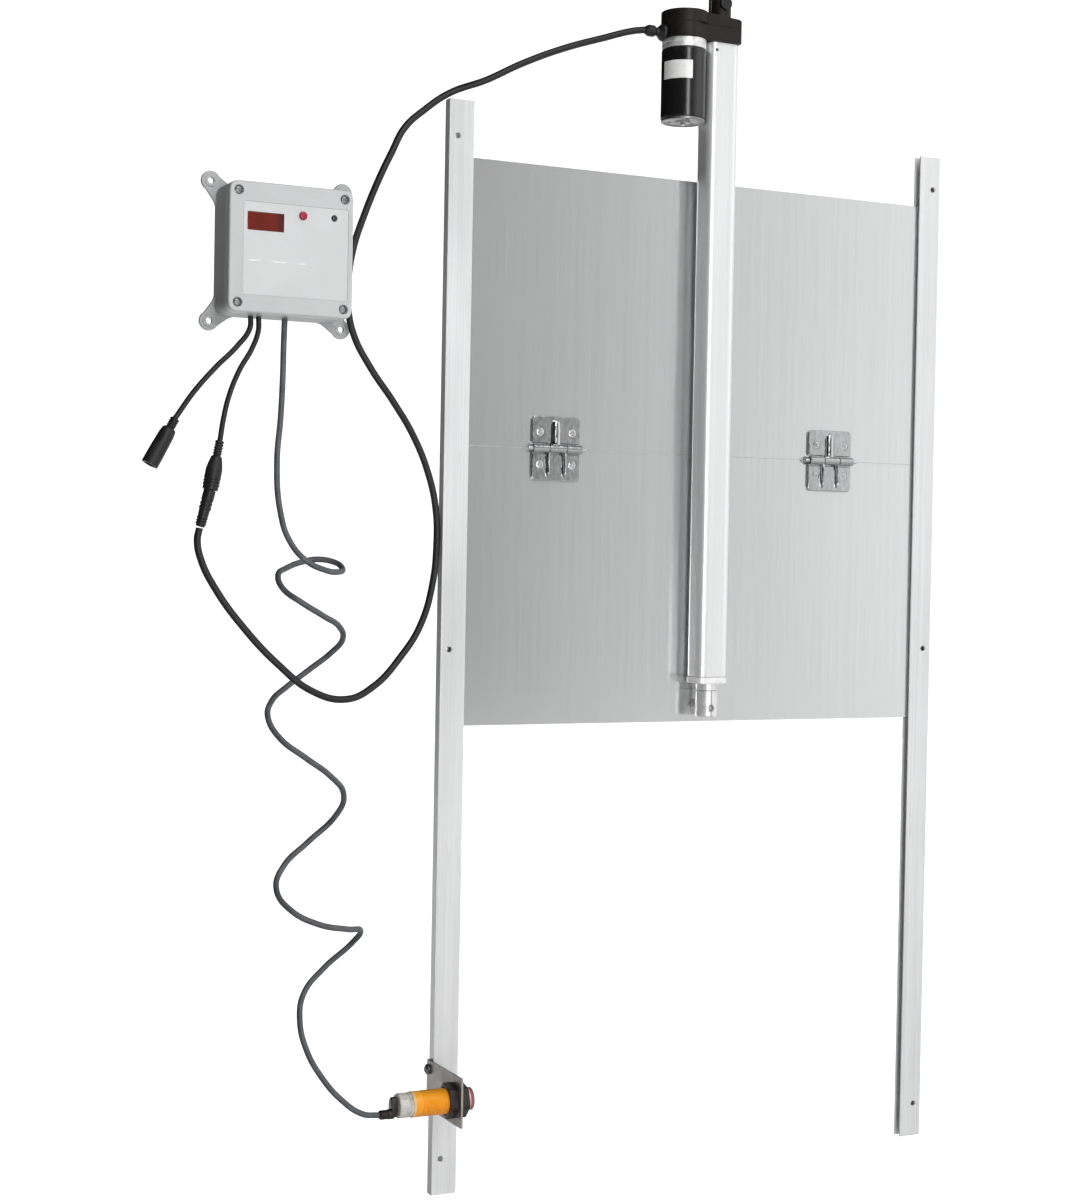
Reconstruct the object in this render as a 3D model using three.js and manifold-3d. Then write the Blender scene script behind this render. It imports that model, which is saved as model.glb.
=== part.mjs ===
// Automatic coop door: a two-leaf aluminium panel slides between two wall rails,
// driven by a screw actuator, with a control box and a beam sensor on their own cables.
// Millimetres, +Z up. y = 0 is the wall plane and the front of the door faces -Y.
// The origin lies on the wall, midway between the rails, level with their lower ends.
import * as THREE from 'three';
import { mergeVertices } from 'three/addons/utils/BufferGeometryUtils.js';
import Module from 'manifold-3d';

const wasm = await Module();
wasm.setup();

// ---------------------------------------------------------------- driving dimensions
const GAP = 0.3; // between pieces that touch
const QUARTER = Math.PI / 2;

const RAIL_LENGTH = 762;
const RAIL_SPACING = 395; // centre to centre
const RAIL_WIDTH = 18.6;
const RAIL_DEPTH = 8;
const RAIL_WALL = 1.2;
const RAIL_HOLE_RADIUS = 1.9;
const RAIL_HOLE_SHIFT = 2.8; // towards the outer edge, clear of the panel
const RAIL_HOLE_HEIGHTS = [25, 381, 737];

const PANEL_WIDTH = 392;
const PANEL_THICKNESS = 2;
const PANEL_BOTTOM = 327.5;
const PANEL_TOP = 723.5;
const SEAM = 523.5; // height of the joint between the two leaves
const SEAM_GAP = 0.6;
const PANEL_MIDDLE_Y = -RAIL_DEPTH / 2;
const PANEL_FRONT = PANEL_MIDDLE_Y - PANEL_THICKNESS / 2;
const PANEL_BACK = PANEL_MIDDLE_Y + PANEL_THICKNESS / 2;

const HINGE_CENTRES = { left: -120, right: 111 };
const HINGE_WIDTH = 38;
const HINGE_HEIGHT = 46;
const HINGE_SHEET = 1.2;
const KNUCKLE_RADIUS = 3.2;
const KNUCKLE_MIDDLE = 13.4; // width of the upper leaf's middle knuckle
const HINGE_PIN_RADIUS = 1.5;
const HINGE_PIN_LENGTH = 46;

const ACTUATOR_X = 0;
const ACTUATOR_Y = -19;
const TUBE_WIDTH = 25;
const TUBE_DEPTH = 20;
const TUBE_WALL = 1.8;
const TUBE_CORNER = 4;
const TUBE_BOTTOM = 361.6;
const END_CAP_BOTTOM = 356.5;
const HOUSING_BOTTOM = 821.2;
const HOUSING_SPLIT = 831.7;
const HOUSING_TOP = 839.2;
const HOUSING_WALL = 2;
const ROD_RADIUS = 7.8;
const ROD_BOTTOM = 351.4;
const ROD_END_BOTTOM = 332;
const ROD_TOP = 780;
const PIVOT_HEIGHT = 338.5;
const PIVOT_RADIUS = 2;
const SCREW_RADIUS = 4;
const SCREW_BOTTOM = 395;
const ROD_BORE_BOTTOM = 385;
const BEARING_BOTTOM = 814.5;
const BEARING_HEIGHT = 5;

const MOTOR_OFFSET = -29; // motor axis from screw axis, along X
const MOTOR_RADIUS = 16.2;
const MOTOR_BOTTOM = 764.2;
const MOTOR_RING_BOTTOM = 814;
const MOTOR_SHAFT_RADIUS = 1.6;
const MAGNETS = { inner: 10.4, bottom: 773, top: 803 };
const ROTOR = { radius: 9, bottom: 775, top: 801 };

const PINION_TEETH = 9;
const IDLER_TEETH = 21;
const SCREW_GEAR_TEETH = 23;
const GEAR_MODULE = (-2 * MOTOR_OFFSET) / (PINION_TEETH + 2 * IDLER_TEETH + SCREW_GEAR_TEETH);
const GEAR_FACE = 6;
const GEAR_BOTTOM = HOUSING_BOTTOM + HOUSING_WALL + 0.4;

const CABLE_GLAND_HEIGHT = 824.7;

const CLEVIS_RADIUS = 8.2;
const CLEVIS_PIN_HEIGHT = 849.7;
const CLEVIS_PIN_RADIUS = 3;
const CLEVIS_SLOT = 4;
const BRACKET_SHEET = 3;
const BRACKET_WIDTH = 20;
const BRACKET_SHELF = 863.7;
const BRACKET_TOP = 905.7;
const BRACKET_HOLE_HEIGHTS = [877.7, 894.7];

const BOX_X = -328;
const BOX_Z = 644;
const BOX_SIZE = 85;
const BOX_CORNER = 6;
const BOX_BASE_DEPTH = 24;
const BOX_DEPTH = 34;
const BOX_WALL = 2.4;
const EAR_REACH = 46; // ear hole from the box centre, both ways
const EAR_THICKNESS = 3;
const LID_SCREW_REACH = 36.3;
const DISPLAY = { x: -18, z: 17, width: 25, height: 12.2 };
const BUTTON = { x: 7.4, z: 23, radius: 2.6, proud: 1.4 };
const LIGHT_SENSOR = { x: 29, z: 23.2, radius: 2 };
const BOX_OUTLETS = { power: -22, actuator: -16.6, sensor: 1.4 }; // along X from the box centre
const OUTLET_Y = -17;
const BOARD_BACK = -18.6;
const BOARD_FRONT = -20.2;

const SENSOR_Y = -48;
const SENSOR_Z = 77;
const SENSOR_PLATE = { thickness: 1.5, front: -61.5, bottom: 60.5, top: 94.5 };
const SENSOR_BODY = { from: -240, to: -200.3, radius: 8.7 };
const SENSOR_CAP = { from: -250, to: -240.3, radius: 8.3 };
const SENSOR_LENS = { from: -200, to: -195, radius: 7.8 };
const SENSOR_NUT = { outer: 11.8, inner: 9, width: 6 };
const SENSOR_TAIL_END = -262.3;
const BOLT_Y = -4; // the bolt through the left rail's outer web
const BOLT_Z = 88;
const BOLT_HOLE_RADIUS = 2.3;

const MOTOR_CABLE_DIAMETER = 4.8;
const LEAD_DIAMETER = 3.6;
const SENSOR_CABLE_DIAMETER = 4;

// Free cords, point by point from where each leaves its gland to what it ends on.
const MOTOR_CABLE_ROUTE = [
  [-62, -19, 824.7], [-71, -19, 822.8], [-94.5, -19.5, 814.8], [-127, -20, 803],
  [-158, -19, 789], [-183, -14.4, 775.6], [-206, -6, 766], [-225, -5, 752],
  [-240, -8, 738], [-251, -12, 719], [-261, -14, 699], [-270, -12, 675],
  [-276.5, -10, 653], [-279.5, -9, 631], [-279.5, -9, 614], [-275, -9.5, 594],
  [-263, -10, 573], [-245, -9, 550], [-230, -7, 529], [-218, -6, 504],
  [-210.6, -4, 478], [-209.6, -4, 453], [-213, -6, 426], [-223, -10, 398],
  [-240, -16, 376], [-262, -24, 357], [-285, -32, 349], [-310, -36, 355],
  [-334, -36, 373], [-356, -33, 396], [-374, -28, 421], [-383, -24, 440],
  [-385.3, -22.3, 453], [-383.9, -22, 460.9],
];
const POWER_LEAD_ROUTE = [
  [-350, -17, 601], [-350.5, -17, 593], [-359, -18, 581], [-374, -20, 566],
  [-389, -22, 549], [-401, -22, 531.5],
];
const POWER_JACK_AXIS = [[-401, -22, 531.2], [-417.5, -22, 501]];
const ACTUATOR_LEAD_ROUTE = [
  [-344.6, -17, 601], [-344.6, -17, 592], [-349, -18, 580], [-358, -20, 565],
  [-365, -21, 548], [-369, -22, 532], [-371, -22, 518.5],
];
const SOCKET_AXIS = [[-371.1, -22, 518.2], [-377.2, -22, 486]];
const PLUG_AXIS = [[-377.3, -22, 485.7], [-383.5, -22, 461.9]];
const SENSOR_CABLE_ROUTE = [
  [-326.6, -17, 601], [-327, -17, 585], [-328, -19, 560], [-330, -22, 535],
  [-334, -28, 505], [-334, -37, 472], [-330, -44, 454], [-320, -49, 441],
  [-307, -50, 435], [-295, -43, 434], [-289, -33, 436], [-290, -22, 440],
  [-300, -15, 442], [-311, -14, 440], [-323, -19, 436], [-333, -31, 431],
  [-333, -43, 422], [-324, -52, 414], [-308, -51, 405], [-294, -42, 398],
  [-287, -30, 389], [-290, -18, 380], [-305, -12, 367], [-320, -15, 357],
  [-334, -25, 348], [-340, -36, 338], [-335, -47, 325], [-320, -53, 313],
  [-301, -49, 300], [-287, -37, 286], [-287, -22, 270], [-304, -15, 252],
  [-322, -20, 238], [-331, -32, 224], [-325, -45, 212], [-308, -52, 203],
  [-287, -48, 198], [-273, -36, 194], [-275, -23, 183], [-291, -16, 167],
  [-306, -18, 151], [-311, -25, 135], [-309, -33, 117], [-301, -40, 100],
  [-288, -45, 84], [-274, -48, 74], [-262.6, -48, 72],
];

// ---------------------------------------------------------------- helpers
const LOOKS = {
  aluminium: { color: 0xc9cacb, roughness: 0.38, metalness: 0.9 },
  brushed: { color: 0xb4b6b7, roughness: 0.45, metalness: 0.85 },
  steel: { color: 0xa9abad, roughness: 0.35, metalness: 1 },
  chrome: { color: 0xd2d4d6, roughness: 0.15, metalness: 1 },
  zinc: { color: 0x8d8780, roughness: 0.5, metalness: 0.8 },
  black: { color: 0x1d1b1a, roughness: 0.55, metalness: 0 },
  blackPaint: { color: 0x141414, roughness: 0.3, metalness: 0.2 },
  abs: { color: 0xc4c5c6, roughness: 0.5, metalness: 0 },
  red: { color: 0xb01030, roughness: 0.35, metalness: 0 },
  display: { color: 0x5f1a12, roughness: 0.2, metalness: 0 },
  dark: { color: 0x2c2f31, roughness: 0.4, metalness: 0 },
  rubber: { color: 0x111111, roughness: 0.7, metalness: 0 },
  greyRubber: { color: 0x55585a, roughness: 0.7, metalness: 0 },
  orange: { color: 0xf28c10, roughness: 0.45, metalness: 0 },
  lens: { color: 0x6b2b33, roughness: 0.15, metalness: 0 },
  clear: { color: 0xb9b4ac, roughness: 0.3, metalness: 0 },
  board: { color: 0x1d5a34, roughness: 0.6, metalness: 0 },
  brass: { color: 0xb08d4a, roughness: 0.35, metalness: 1 },
  nylon: { color: 0xe8e4da, roughness: 0.5, metalness: 0 },
  magnet: { color: 0x3a3a3c, roughness: 0.6, metalness: 0.4 },
};

function piece(name, geometry, look) {
  const mesh = new THREE.Mesh(geometry, new THREE.MeshStandardMaterial(LOOKS[look]));
  mesh.name = name;
  return mesh;
}

function solidOf(geometry) {
  const bare = geometry.clone();
  bare.deleteAttribute('normal');
  bare.deleteAttribute('uv');
  const merged = mergeVertices(bare, 1e-4);
  const triangles = [];
  for (let i = 0; i < merged.index.count; i += 3) {
    const [a, b, c] = [0, 1, 2].map((k) => merged.index.getX(i + k));
    if (a !== b && b !== c && c !== a) triangles.push(a, b, c);
  }
  return new wasm.Manifold(new wasm.Mesh({
    numProp: 3,
    vertProperties: new Float32Array(merged.attributes.position.array),
    triVerts: new Uint32Array(triangles),
  }));
}

function geometryOf(solid) {
  const mesh = solid.getMesh();
  const geometry = new THREE.BufferGeometry();
  geometry.setAttribute('position', new THREE.BufferAttribute(mesh.vertProperties, 3));
  geometry.setIndex(new THREE.BufferAttribute(mesh.triVerts, 1));
  geometry.computeVertexNormals();
  return geometry;
}

function cut(geometry, ...tools) {
  return geometryOf(tools.reduce((left, tool) => left.subtract(solidOf(tool)), solidOf(geometry)));
}

function join(geometry, ...others) {
  return geometryOf(others.reduce((sum, other) => sum.add(solidOf(other)), solidOf(geometry)));
}

// A box given by its lowest and highest corners.
function block(low, high) {
  const size = high.map((value, i) => value - low[i]);
  const box = new THREE.BoxGeometry(...size);
  return box.translate(...low.map((value, i) => value + size[i] / 2));
}

// A round bar along an axis, from one end position to the other.
function bar(axis, radius, from, to, sides = 16) {
  const rod = new THREE.CylinderGeometry(radius, radius, to - from, sides);
  rod.translate(0, (from + to) / 2, 0);
  if (axis === 'z') rod.rotateX(QUARTER);
  if (axis === 'x') rod.rotateZ(-QUARTER);
  return rod;
}

// An outline in the XY plane raised along +Z.
function raise(shape, from, to, segments = 5) {
  const options = { depth: to - from, bevelEnabled: false, curveSegments: segments };
  return new THREE.ExtrudeGeometry(shape, options).translate(0, 0, from);
}

// An outline drawn in X and Z, from wall distance `back` out to `front`, both positive.
function raiseFromWall(shape, back, front, segments = 5) {
  return raise(shape, back, front, segments).rotateX(QUARTER);
}

function roundedRectangle(width, height, radius, steps = 3) {
  const corners = [[1, 1], [-1, 1], [-1, -1], [1, -1]];
  const points = corners.flatMap(([x, y], turn) => Array.from({ length: steps + 1 }, (_, i) => {
    const angle = (turn + i / steps) * QUARTER;
    return new THREE.Vector2(
      x * (width / 2 - radius) + radius * Math.cos(angle),
      y * (height / 2 - radius) + radius * Math.sin(angle));
  }));
  return new THREE.Shape(points);
}

function circle(radius) {
  return new THREE.Shape().absarc(0, 0, radius, 0, 2 * Math.PI);
}

function ring(outer, inner) {
  const shape = circle(outer);
  shape.holes.push(new THREE.Path().absarc(0, 0, inner, 0, 2 * Math.PI, true));
  return shape;
}

// A turned piece about +Y, from [radius, height] points listed upwards.
function turned(profile, sides = 20) {
  const points = profile.map(([radius, height]) => new THREE.Vector2(radius, height));
  return new THREE.LatheGeometry(points, sides);
}

// A turned piece laid along the line from one point to another.
function turnedAlong([start, end], profile, sides = 16) {
  const from = new THREE.Vector3(...start);
  const direction = new THREE.Vector3(...end).sub(from).normalize();
  const turn = new THREE.Quaternion().setFromUnitVectors(new THREE.Vector3(0, 1, 0), direction);
  return turned(profile, sides).applyQuaternion(turn).translate(...start);
}

function cordAlong(route, diameter, sides, steps) {
  const path = new THREE.CatmullRomCurve3(route.map((point) => new THREE.Vector3(...point)));
  const options = { steps, extrudePath: path, curveSegments: sides / 2 };
  return new THREE.ExtrudeGeometry(circle(diameter / 2), options);
}

function lengthBetween([start, end]) {
  return new THREE.Vector3(...start).distanceTo(new THREE.Vector3(...end));
}

// ---------------------------------------------------------------- rails
function bracketBoltHole() {
  const outside = -RAIL_WIDTH / 2;
  const drill = bar('x', BOLT_HOLE_RADIUS, outside - 1, outside + RAIL_WALL + 1, 12);
  return drill.translate(0, BOLT_Y, BOLT_Z);
}

function rail(name, side) {
  const outer = (side * RAIL_WIDTH) / 2;
  const inner = -outer;
  const web = outer - side * RAIL_WALL;
  const outline = new THREE.Shape([
    [outer, 0], [inner, 0], [inner, -RAIL_WALL], [web, -RAIL_WALL],
    [web, RAIL_WALL - RAIL_DEPTH], [inner, RAIL_WALL - RAIL_DEPTH],
    [inner, -RAIL_DEPTH], [outer, -RAIL_DEPTH],
  ].map(([x, y]) => new THREE.Vector2(x, y)));
  const holes = RAIL_HOLE_HEIGHTS.map((height) => {
    const drill = bar('y', RAIL_HOLE_RADIUS, -RAIL_DEPTH - 1, 1, 12);
    return drill.translate(side * RAIL_HOLE_SHIFT, 0, height);
  });
  if (side < 0) holes.push(bracketBoltHole());
  const mesh = piece(name, cut(raise(outline, 0, RAIL_LENGTH), ...holes), 'aluminium');
  mesh.position.x = (side * RAIL_SPACING) / 2;
  return mesh;
}

// ---------------------------------------------------------------- door
function upperPanel() {
  const half = PANEL_WIDTH / 2;
  const sheet = block([-half, PANEL_FRONT, SEAM + SEAM_GAP / 2], [half, PANEL_BACK, PANEL_TOP]);
  return piece('upper_panel', sheet, 'brushed');
}

function lowerPanel() {
  const half = PANEL_WIDTH / 2;
  const sheet = block([-half, PANEL_FRONT, PANEL_BOTTOM], [half, PANEL_BACK, SEAM - SEAM_GAP / 2]);
  const hole = bar('y', PIVOT_RADIUS + GAP, -RAIL_DEPTH, 0, 12);
  hole.translate(ACTUATOR_X, 0, PIVOT_HEIGHT);
  return piece('lower_panel', cut(sheet, hole), 'brushed');
}

// One leaf of a hinge, about its pin. `up` is 1 above the pin and -1 below it.
function hingeLeaf(name, up) {
  const half = HINGE_WIDTH / 2;
  const back = KNUCKLE_RADIUS + 0.1;
  const clear = KNUCKLE_RADIUS + 0.5;
  const middle = KNUCKLE_MIDDLE / 2;
  const spans = up > 0 ? [[-middle, middle]] : [[-half, -middle - 0.4], [middle + 0.4, half]];
  const ribs = up > 0 ? [[-4.5, 3.5]] : [[-9, -4.6], [4, 8]];
  const upright = (low, high) => (up > 0 ? [low, high] : [-high, -low]);
  const slab = ([left, right], [low, high], front) =>
    block([left, -front, low], [right, back, high]);
  const [low, high] = upright(clear, HINGE_HEIGHT / 2);
  const sheet = slab([-half, half], [low, high], HINGE_SHEET - back);
  const knuckles = spans.map(([left, right]) => bar('x', KNUCKLE_RADIUS, left, right, 14));
  const tabs = spans.map((span) => slab(span, upright(0.5, clear + 1), HINGE_SHEET - back));
  const raised = ribs.map((span) => slab(span, upright(clear, HINGE_HEIGHT / 2 - 2.5), -0.6));
  const bore = bar('x', HINGE_PIN_RADIUS + GAP, -half - 1, half + 1, 14);
  return piece(name, cut(join(sheet, ...knuckles, ...tabs, ...raised), bore), 'chrome');
}

function hinge(side) {
  const hingeGroup = new THREE.Group();
  const pinY = PANEL_FRONT - GAP - KNUCKLE_RADIUS - 0.1;
  hingeGroup.position.set(HINGE_CENTRES[side], pinY, SEAM);
  hingeGroup.add(hingeLeaf(`${side}_hinge_upper_leaf`, 1));
  hingeGroup.add(hingeLeaf(`${side}_hinge_lower_leaf`, -1));
  const reach = HINGE_PIN_LENGTH / 2;
  const pin = bar('x', HINGE_PIN_RADIUS, -reach, reach, 12);
  hingeGroup.add(piece(`${side}_hinge_pin`, pin, 'steel'));
  return hingeGroup;
}

// ---------------------------------------------------------------- actuator, about its screw
function actuatorTube() {
  const outline = roundedRectangle(TUBE_WIDTH, TUBE_DEPTH, TUBE_CORNER);
  const inside = roundedRectangle(
    TUBE_WIDTH - 2 * TUBE_WALL, TUBE_DEPTH - 2 * TUBE_WALL, TUBE_CORNER - TUBE_WALL);
  outline.holes.push(inside);
  return piece('actuator_tube', raise(outline, TUBE_BOTTOM, HOUSING_BOTTOM - GAP), 'aluminium');
}

function tubeEndCap() {
  const outline = roundedRectangle(TUBE_WIDTH + 0.4, TUBE_DEPTH + 0.4, TUBE_CORNER);
  outline.holes.push(new THREE.Path().absarc(0, 0, ROD_RADIUS + GAP, 0, 2 * Math.PI, true));
  return piece('tube_end_cap', raise(outline, END_CAP_BOTTOM, TUBE_BOTTOM - GAP, 14), 'steel');
}

function rod() {
  const outside = bar('z', ROD_RADIUS, ROD_BOTTOM, ROD_TOP, 24);
  const bore = bar('z', SCREW_RADIUS + 1, ROD_BORE_BOTTOM, ROD_TOP + 1, 16);
  return piece('rod', cut(outside, bore), 'steel');
}

function rodEnd() {
  const outside = bar('z', ROD_RADIUS, ROD_END_BOTTOM, ROD_BOTTOM - GAP, 24);
  const hole = bar('y', PIVOT_RADIUS + GAP, -12, 12, 12).translate(0, 0, PIVOT_HEIGHT);
  return piece('rod_end', cut(outside, hole), 'chrome');
}

function driveNut() {
  const [width, depth] = [TUBE_WIDTH, TUBE_DEPTH].map((size) => size - 2 * TUBE_WALL - 0.8);
  const outline = roundedRectangle(width, depth, 2);
  outline.holes.push(new THREE.Path().absarc(0, 0, SCREW_RADIUS + GAP, 0, 2 * Math.PI, true));
  return piece('drive_nut', raise(outline, ROD_TOP + GAP, ROD_TOP + 20, 6), 'nylon');
}

// The pivot bolt goes through the panel, its spacer and the rod end, and stops inside the rod end.
function pivotBolt() {
  const head = PANEL_BACK + 2 - ACTUATOR_Y;
  const tip = 2 - ROD_RADIUS;
  const profile = [
    [0, tip], [PIVOT_RADIUS, tip], [PIVOT_RADIUS, head - 1.7],
    [4.5, head - 1.7], [4.5, head], [0, head],
  ];
  return piece('pivot_bolt', turned(profile, 12).translate(0, 0, PIVOT_HEIGHT), 'steel');
}

function pivotSpacer() {
  const wallSide = PANEL_FRONT - GAP - ACTUATOR_Y;
  const rodSide = ROD_RADIUS + GAP;
  const bore = PIVOT_RADIUS + GAP;
  const profile = [
    [bore, rodSide], [4.8, rodSide], [4.8, wallSide - 1.5], [7, wallSide - 1.5],
    [7, wallSide], [bore, wallSide], [bore, rodSide],
  ];
  return piece('pivot_spacer', turned(profile, 16).translate(0, 0, PIVOT_HEIGHT), 'steel');
}

function housingOutline(inset) {
  const motorEnd = MOTOR_RADIUS + 0.8 - inset;
  const tubeEnd = 12.8 - inset;
  const halfDepth = 12.2 - inset;
  const corner = 4 - inset / 2;
  const shape = new THREE.Shape();
  shape.absarc(MOTOR_OFFSET, 0, motorEnd, QUARTER, 3 * QUARTER);
  shape.lineTo(MOTOR_OFFSET + 12, -halfDepth);
  shape.absarc(tubeEnd - corner, corner - halfDepth, corner, 3 * QUARTER, 4 * QUARTER);
  shape.absarc(tubeEnd - corner, halfDepth - corner, corner, 0, QUARTER);
  shape.lineTo(MOTOR_OFFSET + 12, halfDepth);
  shape.closePath();
  return shape;
}

function gearHousing() {
  const shell = raise(housingOutline(0), HOUSING_BOTTOM, HOUSING_SPLIT);
  const floor = HOUSING_BOTTOM + HOUSING_WALL;
  const hollow = raise(housingOutline(HOUSING_WALL), floor, HOUSING_SPLIT + 1);
  const screwHole = bar('z', SCREW_RADIUS + GAP, HOUSING_BOTTOM - 1, floor + 1);
  const shaftHole = bar('z', 3.5, HOUSING_BOTTOM - 1, floor + 1).translate(MOTOR_OFFSET, 0, 0);
  return piece('gear_housing', cut(shell, hollow, screwHole, shaftHole), 'black');
}

// The cover carries the rear clevis: a round post, slotted for the wall bracket's tongue.
function housingCover() {
  const lid = raise(housingOutline(0), HOUSING_SPLIT + GAP, HOUSING_TOP);
  const post = bar('z', CLEVIS_RADIUS, HOUSING_TOP - 1, CLEVIS_PIN_HEIGHT + 8, 24);
  const slot = block(
    [-20, -CLEVIS_SLOT / 2, HOUSING_TOP + 2.5], [20, CLEVIS_SLOT / 2, CLEVIS_PIN_HEIGHT + 20]);
  const eye = bar('y', CLEVIS_PIN_RADIUS + GAP, -12, 12).translate(0, 0, CLEVIS_PIN_HEIGHT);
  return piece('housing_cover', cut(join(lid, post), slot, eye), 'black');
}

function rearPin() {
  const [front, back] = [-CLEVIS_RADIUS - 2, CLEVIS_RADIUS + 2];
  const headFace = -CLEVIS_RADIUS - GAP;
  const profile = [
    [0, front], [4.6, front], [4.6, headFace],
    [CLEVIS_PIN_RADIUS, headFace], [CLEVIS_PIN_RADIUS, back], [0, back],
  ];
  return piece('rear_pin', turned(profile, 16).translate(0, 0, CLEVIS_PIN_HEIGHT), 'steel');
}

// Bent strip: plate on the wall, shelf out to the screw line, tongue down into the clevis.
function wallBracket() {
  const half = BRACKET_WIDTH / 2;
  const wall = -ACTUATOR_Y;
  const tongue = BRACKET_SHEET / 2;
  const shelfTop = BRACKET_SHELF + BRACKET_SHEET;
  const plate = block([-half, wall - BRACKET_SHEET, BRACKET_SHELF], [half, wall, BRACKET_TOP]);
  const shelf = block([-half, -tongue, BRACKET_SHELF], [half, wall - 1, shelfTop]);
  const drop = block(
    [-half + 2, -tongue, CLEVIS_PIN_HEIGHT - 7.2], [half - 2, tongue, BRACKET_SHELF + 1]);
  const eye = bar('y', CLEVIS_PIN_RADIUS + GAP, -5, 5).translate(0, 0, CLEVIS_PIN_HEIGHT);
  const screwHoles = BRACKET_HOLE_HEIGHTS.map((height) =>
    bar('y', 2.6, wall - 5, wall + 1, 12).translate(0, 0, height));
  return piece('wall_bracket', cut(join(plate, shelf, drop), eye, ...screwHoles), 'zinc');
}

function leadScrew() {
  return piece('lead_screw', bar('z', SCREW_RADIUS, SCREW_BOTTOM, HOUSING_SPLIT - 0.5, 16), 'steel');
}

function screwBearing() {
  const outline = ring(8, SCREW_RADIUS + GAP);
  const race = raise(outline, BEARING_BOTTOM, BEARING_BOTTOM + BEARING_HEIGHT, 10);
  return piece('screw_bearing', race, 'steel');
}

// Straight-toothed gear about +Z with a tooth centred on +X.
function gear(name, teeth, bore, look) {
  const pitchRadius = (GEAR_MODULE * teeth) / 2;
  const [root, tip] = [pitchRadius - 1.2 * GEAR_MODULE, pitchRadius + 0.75 * GEAR_MODULE];
  const pitch = (2 * Math.PI) / teeth;
  const corners = [];
  for (let tooth = 0; tooth < teeth; tooth += 1) {
    for (const [share, radius] of [[-0.29, root], [-0.1, tip], [0.1, tip], [0.29, root]]) {
      const angle = (tooth + share) * pitch;
      corners.push(new THREE.Vector2(radius * Math.cos(angle), radius * Math.sin(angle)));
    }
  }
  const shape = new THREE.Shape(corners);
  shape.holes.push(new THREE.Path().absarc(0, 0, bore, 0, 2 * Math.PI, true));
  return piece(name, raise(shape, GEAR_BOTTOM, GEAR_BOTTOM + GEAR_FACE, 6), look);
}

function gearTrain() {
  const train = new THREE.Group();
  const idlerX = MOTOR_OFFSET + (GEAR_MODULE * (PINION_TEETH + IDLER_TEETH)) / 2;
  const pinion = gear('motor_pinion', PINION_TEETH, MOTOR_SHAFT_RADIUS + GAP, 'brass');
  pinion.position.x = MOTOR_OFFSET;
  const idler = gear('idler_gear', IDLER_TEETH, 1.5 + GAP, 'nylon');
  idler.position.x = idlerX;
  const idlerPin = bar('z', 1.5, HOUSING_BOTTOM + HOUSING_WALL + GAP, HOUSING_SPLIT, 12);
  const idlerPinMesh = piece('idler_pin', idlerPin, 'steel');
  idlerPinMesh.position.x = idlerX;
  const screwGear = gear('screw_gear', SCREW_GEAR_TEETH, SCREW_RADIUS + GAP, 'nylon');
  train.add(pinion, idler, idlerPinMesh, screwGear);
  return train;
}

function motor() {
  const motorGroup = new THREE.Group();
  motorGroup.position.x = MOTOR_OFFSET;
  const collar = raise(ring(MOTOR_RADIUS - 0.2, 6), MOTOR_RING_BOTTOM, HOUSING_BOTTOM - GAP, 12);
  const can = cut(
    bar('z', MOTOR_RADIUS, MOTOR_BOTTOM, MOTOR_RING_BOTTOM - GAP, 28),
    bar('z', MOTOR_RADIUS - 1.5, MOTOR_BOTTOM - 1, MOTOR_RING_BOTTOM - 4, 28),
    bar('z', 3.5, MOTOR_RING_BOTTOM - 6, MOTOR_RING_BOTTOM + 2, 12));
  const bell = raise(ring(MOTOR_RADIUS - 0.4, 2.1), MOTOR_BOTTOM - 2.3, MOTOR_BOTTOM - GAP, 12);
  const magnets = raise(ring(MOTOR_RADIUS - 1.8, MAGNETS.inner), MAGNETS.bottom, MAGNETS.top, 12);
  const core = bar('z', ROTOR.radius, ROTOR.bottom, ROTOR.top, 18);
  const shaft = bar('z', MOTOR_SHAFT_RADIUS, MOTOR_BOTTOM - 4, GEAR_BOTTOM + GEAR_FACE + 0.5, 12);
  motorGroup.add(
    piece('motor_collar', collar, 'steel'),
    piece('motor_can', can, 'blackPaint'),
    piece('motor_end_bell', bell, 'steel'),
    piece('motor_magnets', magnets, 'magnet'),
    piece('motor_rotor', join(core, shaft), 'steel'));
  return motorGroup;
}

function motorCableGland() {
  const face = MOTOR_OFFSET - MOTOR_RADIUS - 0.8 - GAP;
  const profile = [
    [0, 0], [6.2, 0], [6, 1.5], [3, 5], [2.9, 6.5], [4, 7.5], [4, 13], [3, 15], [0, 15]];
  const gland = turned(profile, 16).rotateZ(QUARTER).translate(face, 0, CABLE_GLAND_HEIGHT);
  return piece('motor_cable_gland', gland, 'rubber');
}

function actuator() {
  const actuatorGroup = new THREE.Group();
  actuatorGroup.position.set(ACTUATOR_X, ACTUATOR_Y, 0);
  actuatorGroup.add(
    actuatorTube(), tubeEndCap(), rod(), rodEnd(), driveNut(), pivotBolt(), pivotSpacer(),
    gearHousing(), housingCover(), rearPin(), wallBracket(), leadScrew(), screwBearing(),
    gearTrain(), motor(), motorCableGland());
  return actuatorGroup;
}

// ---------------------------------------------------------------- control box, about its centre
const CORNERS = [[-1, -1], [1, -1], [-1, 1], [1, 1]];

function boxEar([x, z]) {
  const pad = bar('y', 6.5, -EAR_THICKNESS, 0, 16).translate(x * EAR_REACH, 0, z * EAR_REACH);
  const strap = new THREE.BoxGeometry(13, EAR_THICKNESS, 13);
  const middle = EAR_REACH - 5;
  strap.rotateY(QUARTER / 2).translate(x * middle, -EAR_THICKNESS / 2, z * middle);
  return [pad, strap];
}

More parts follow.
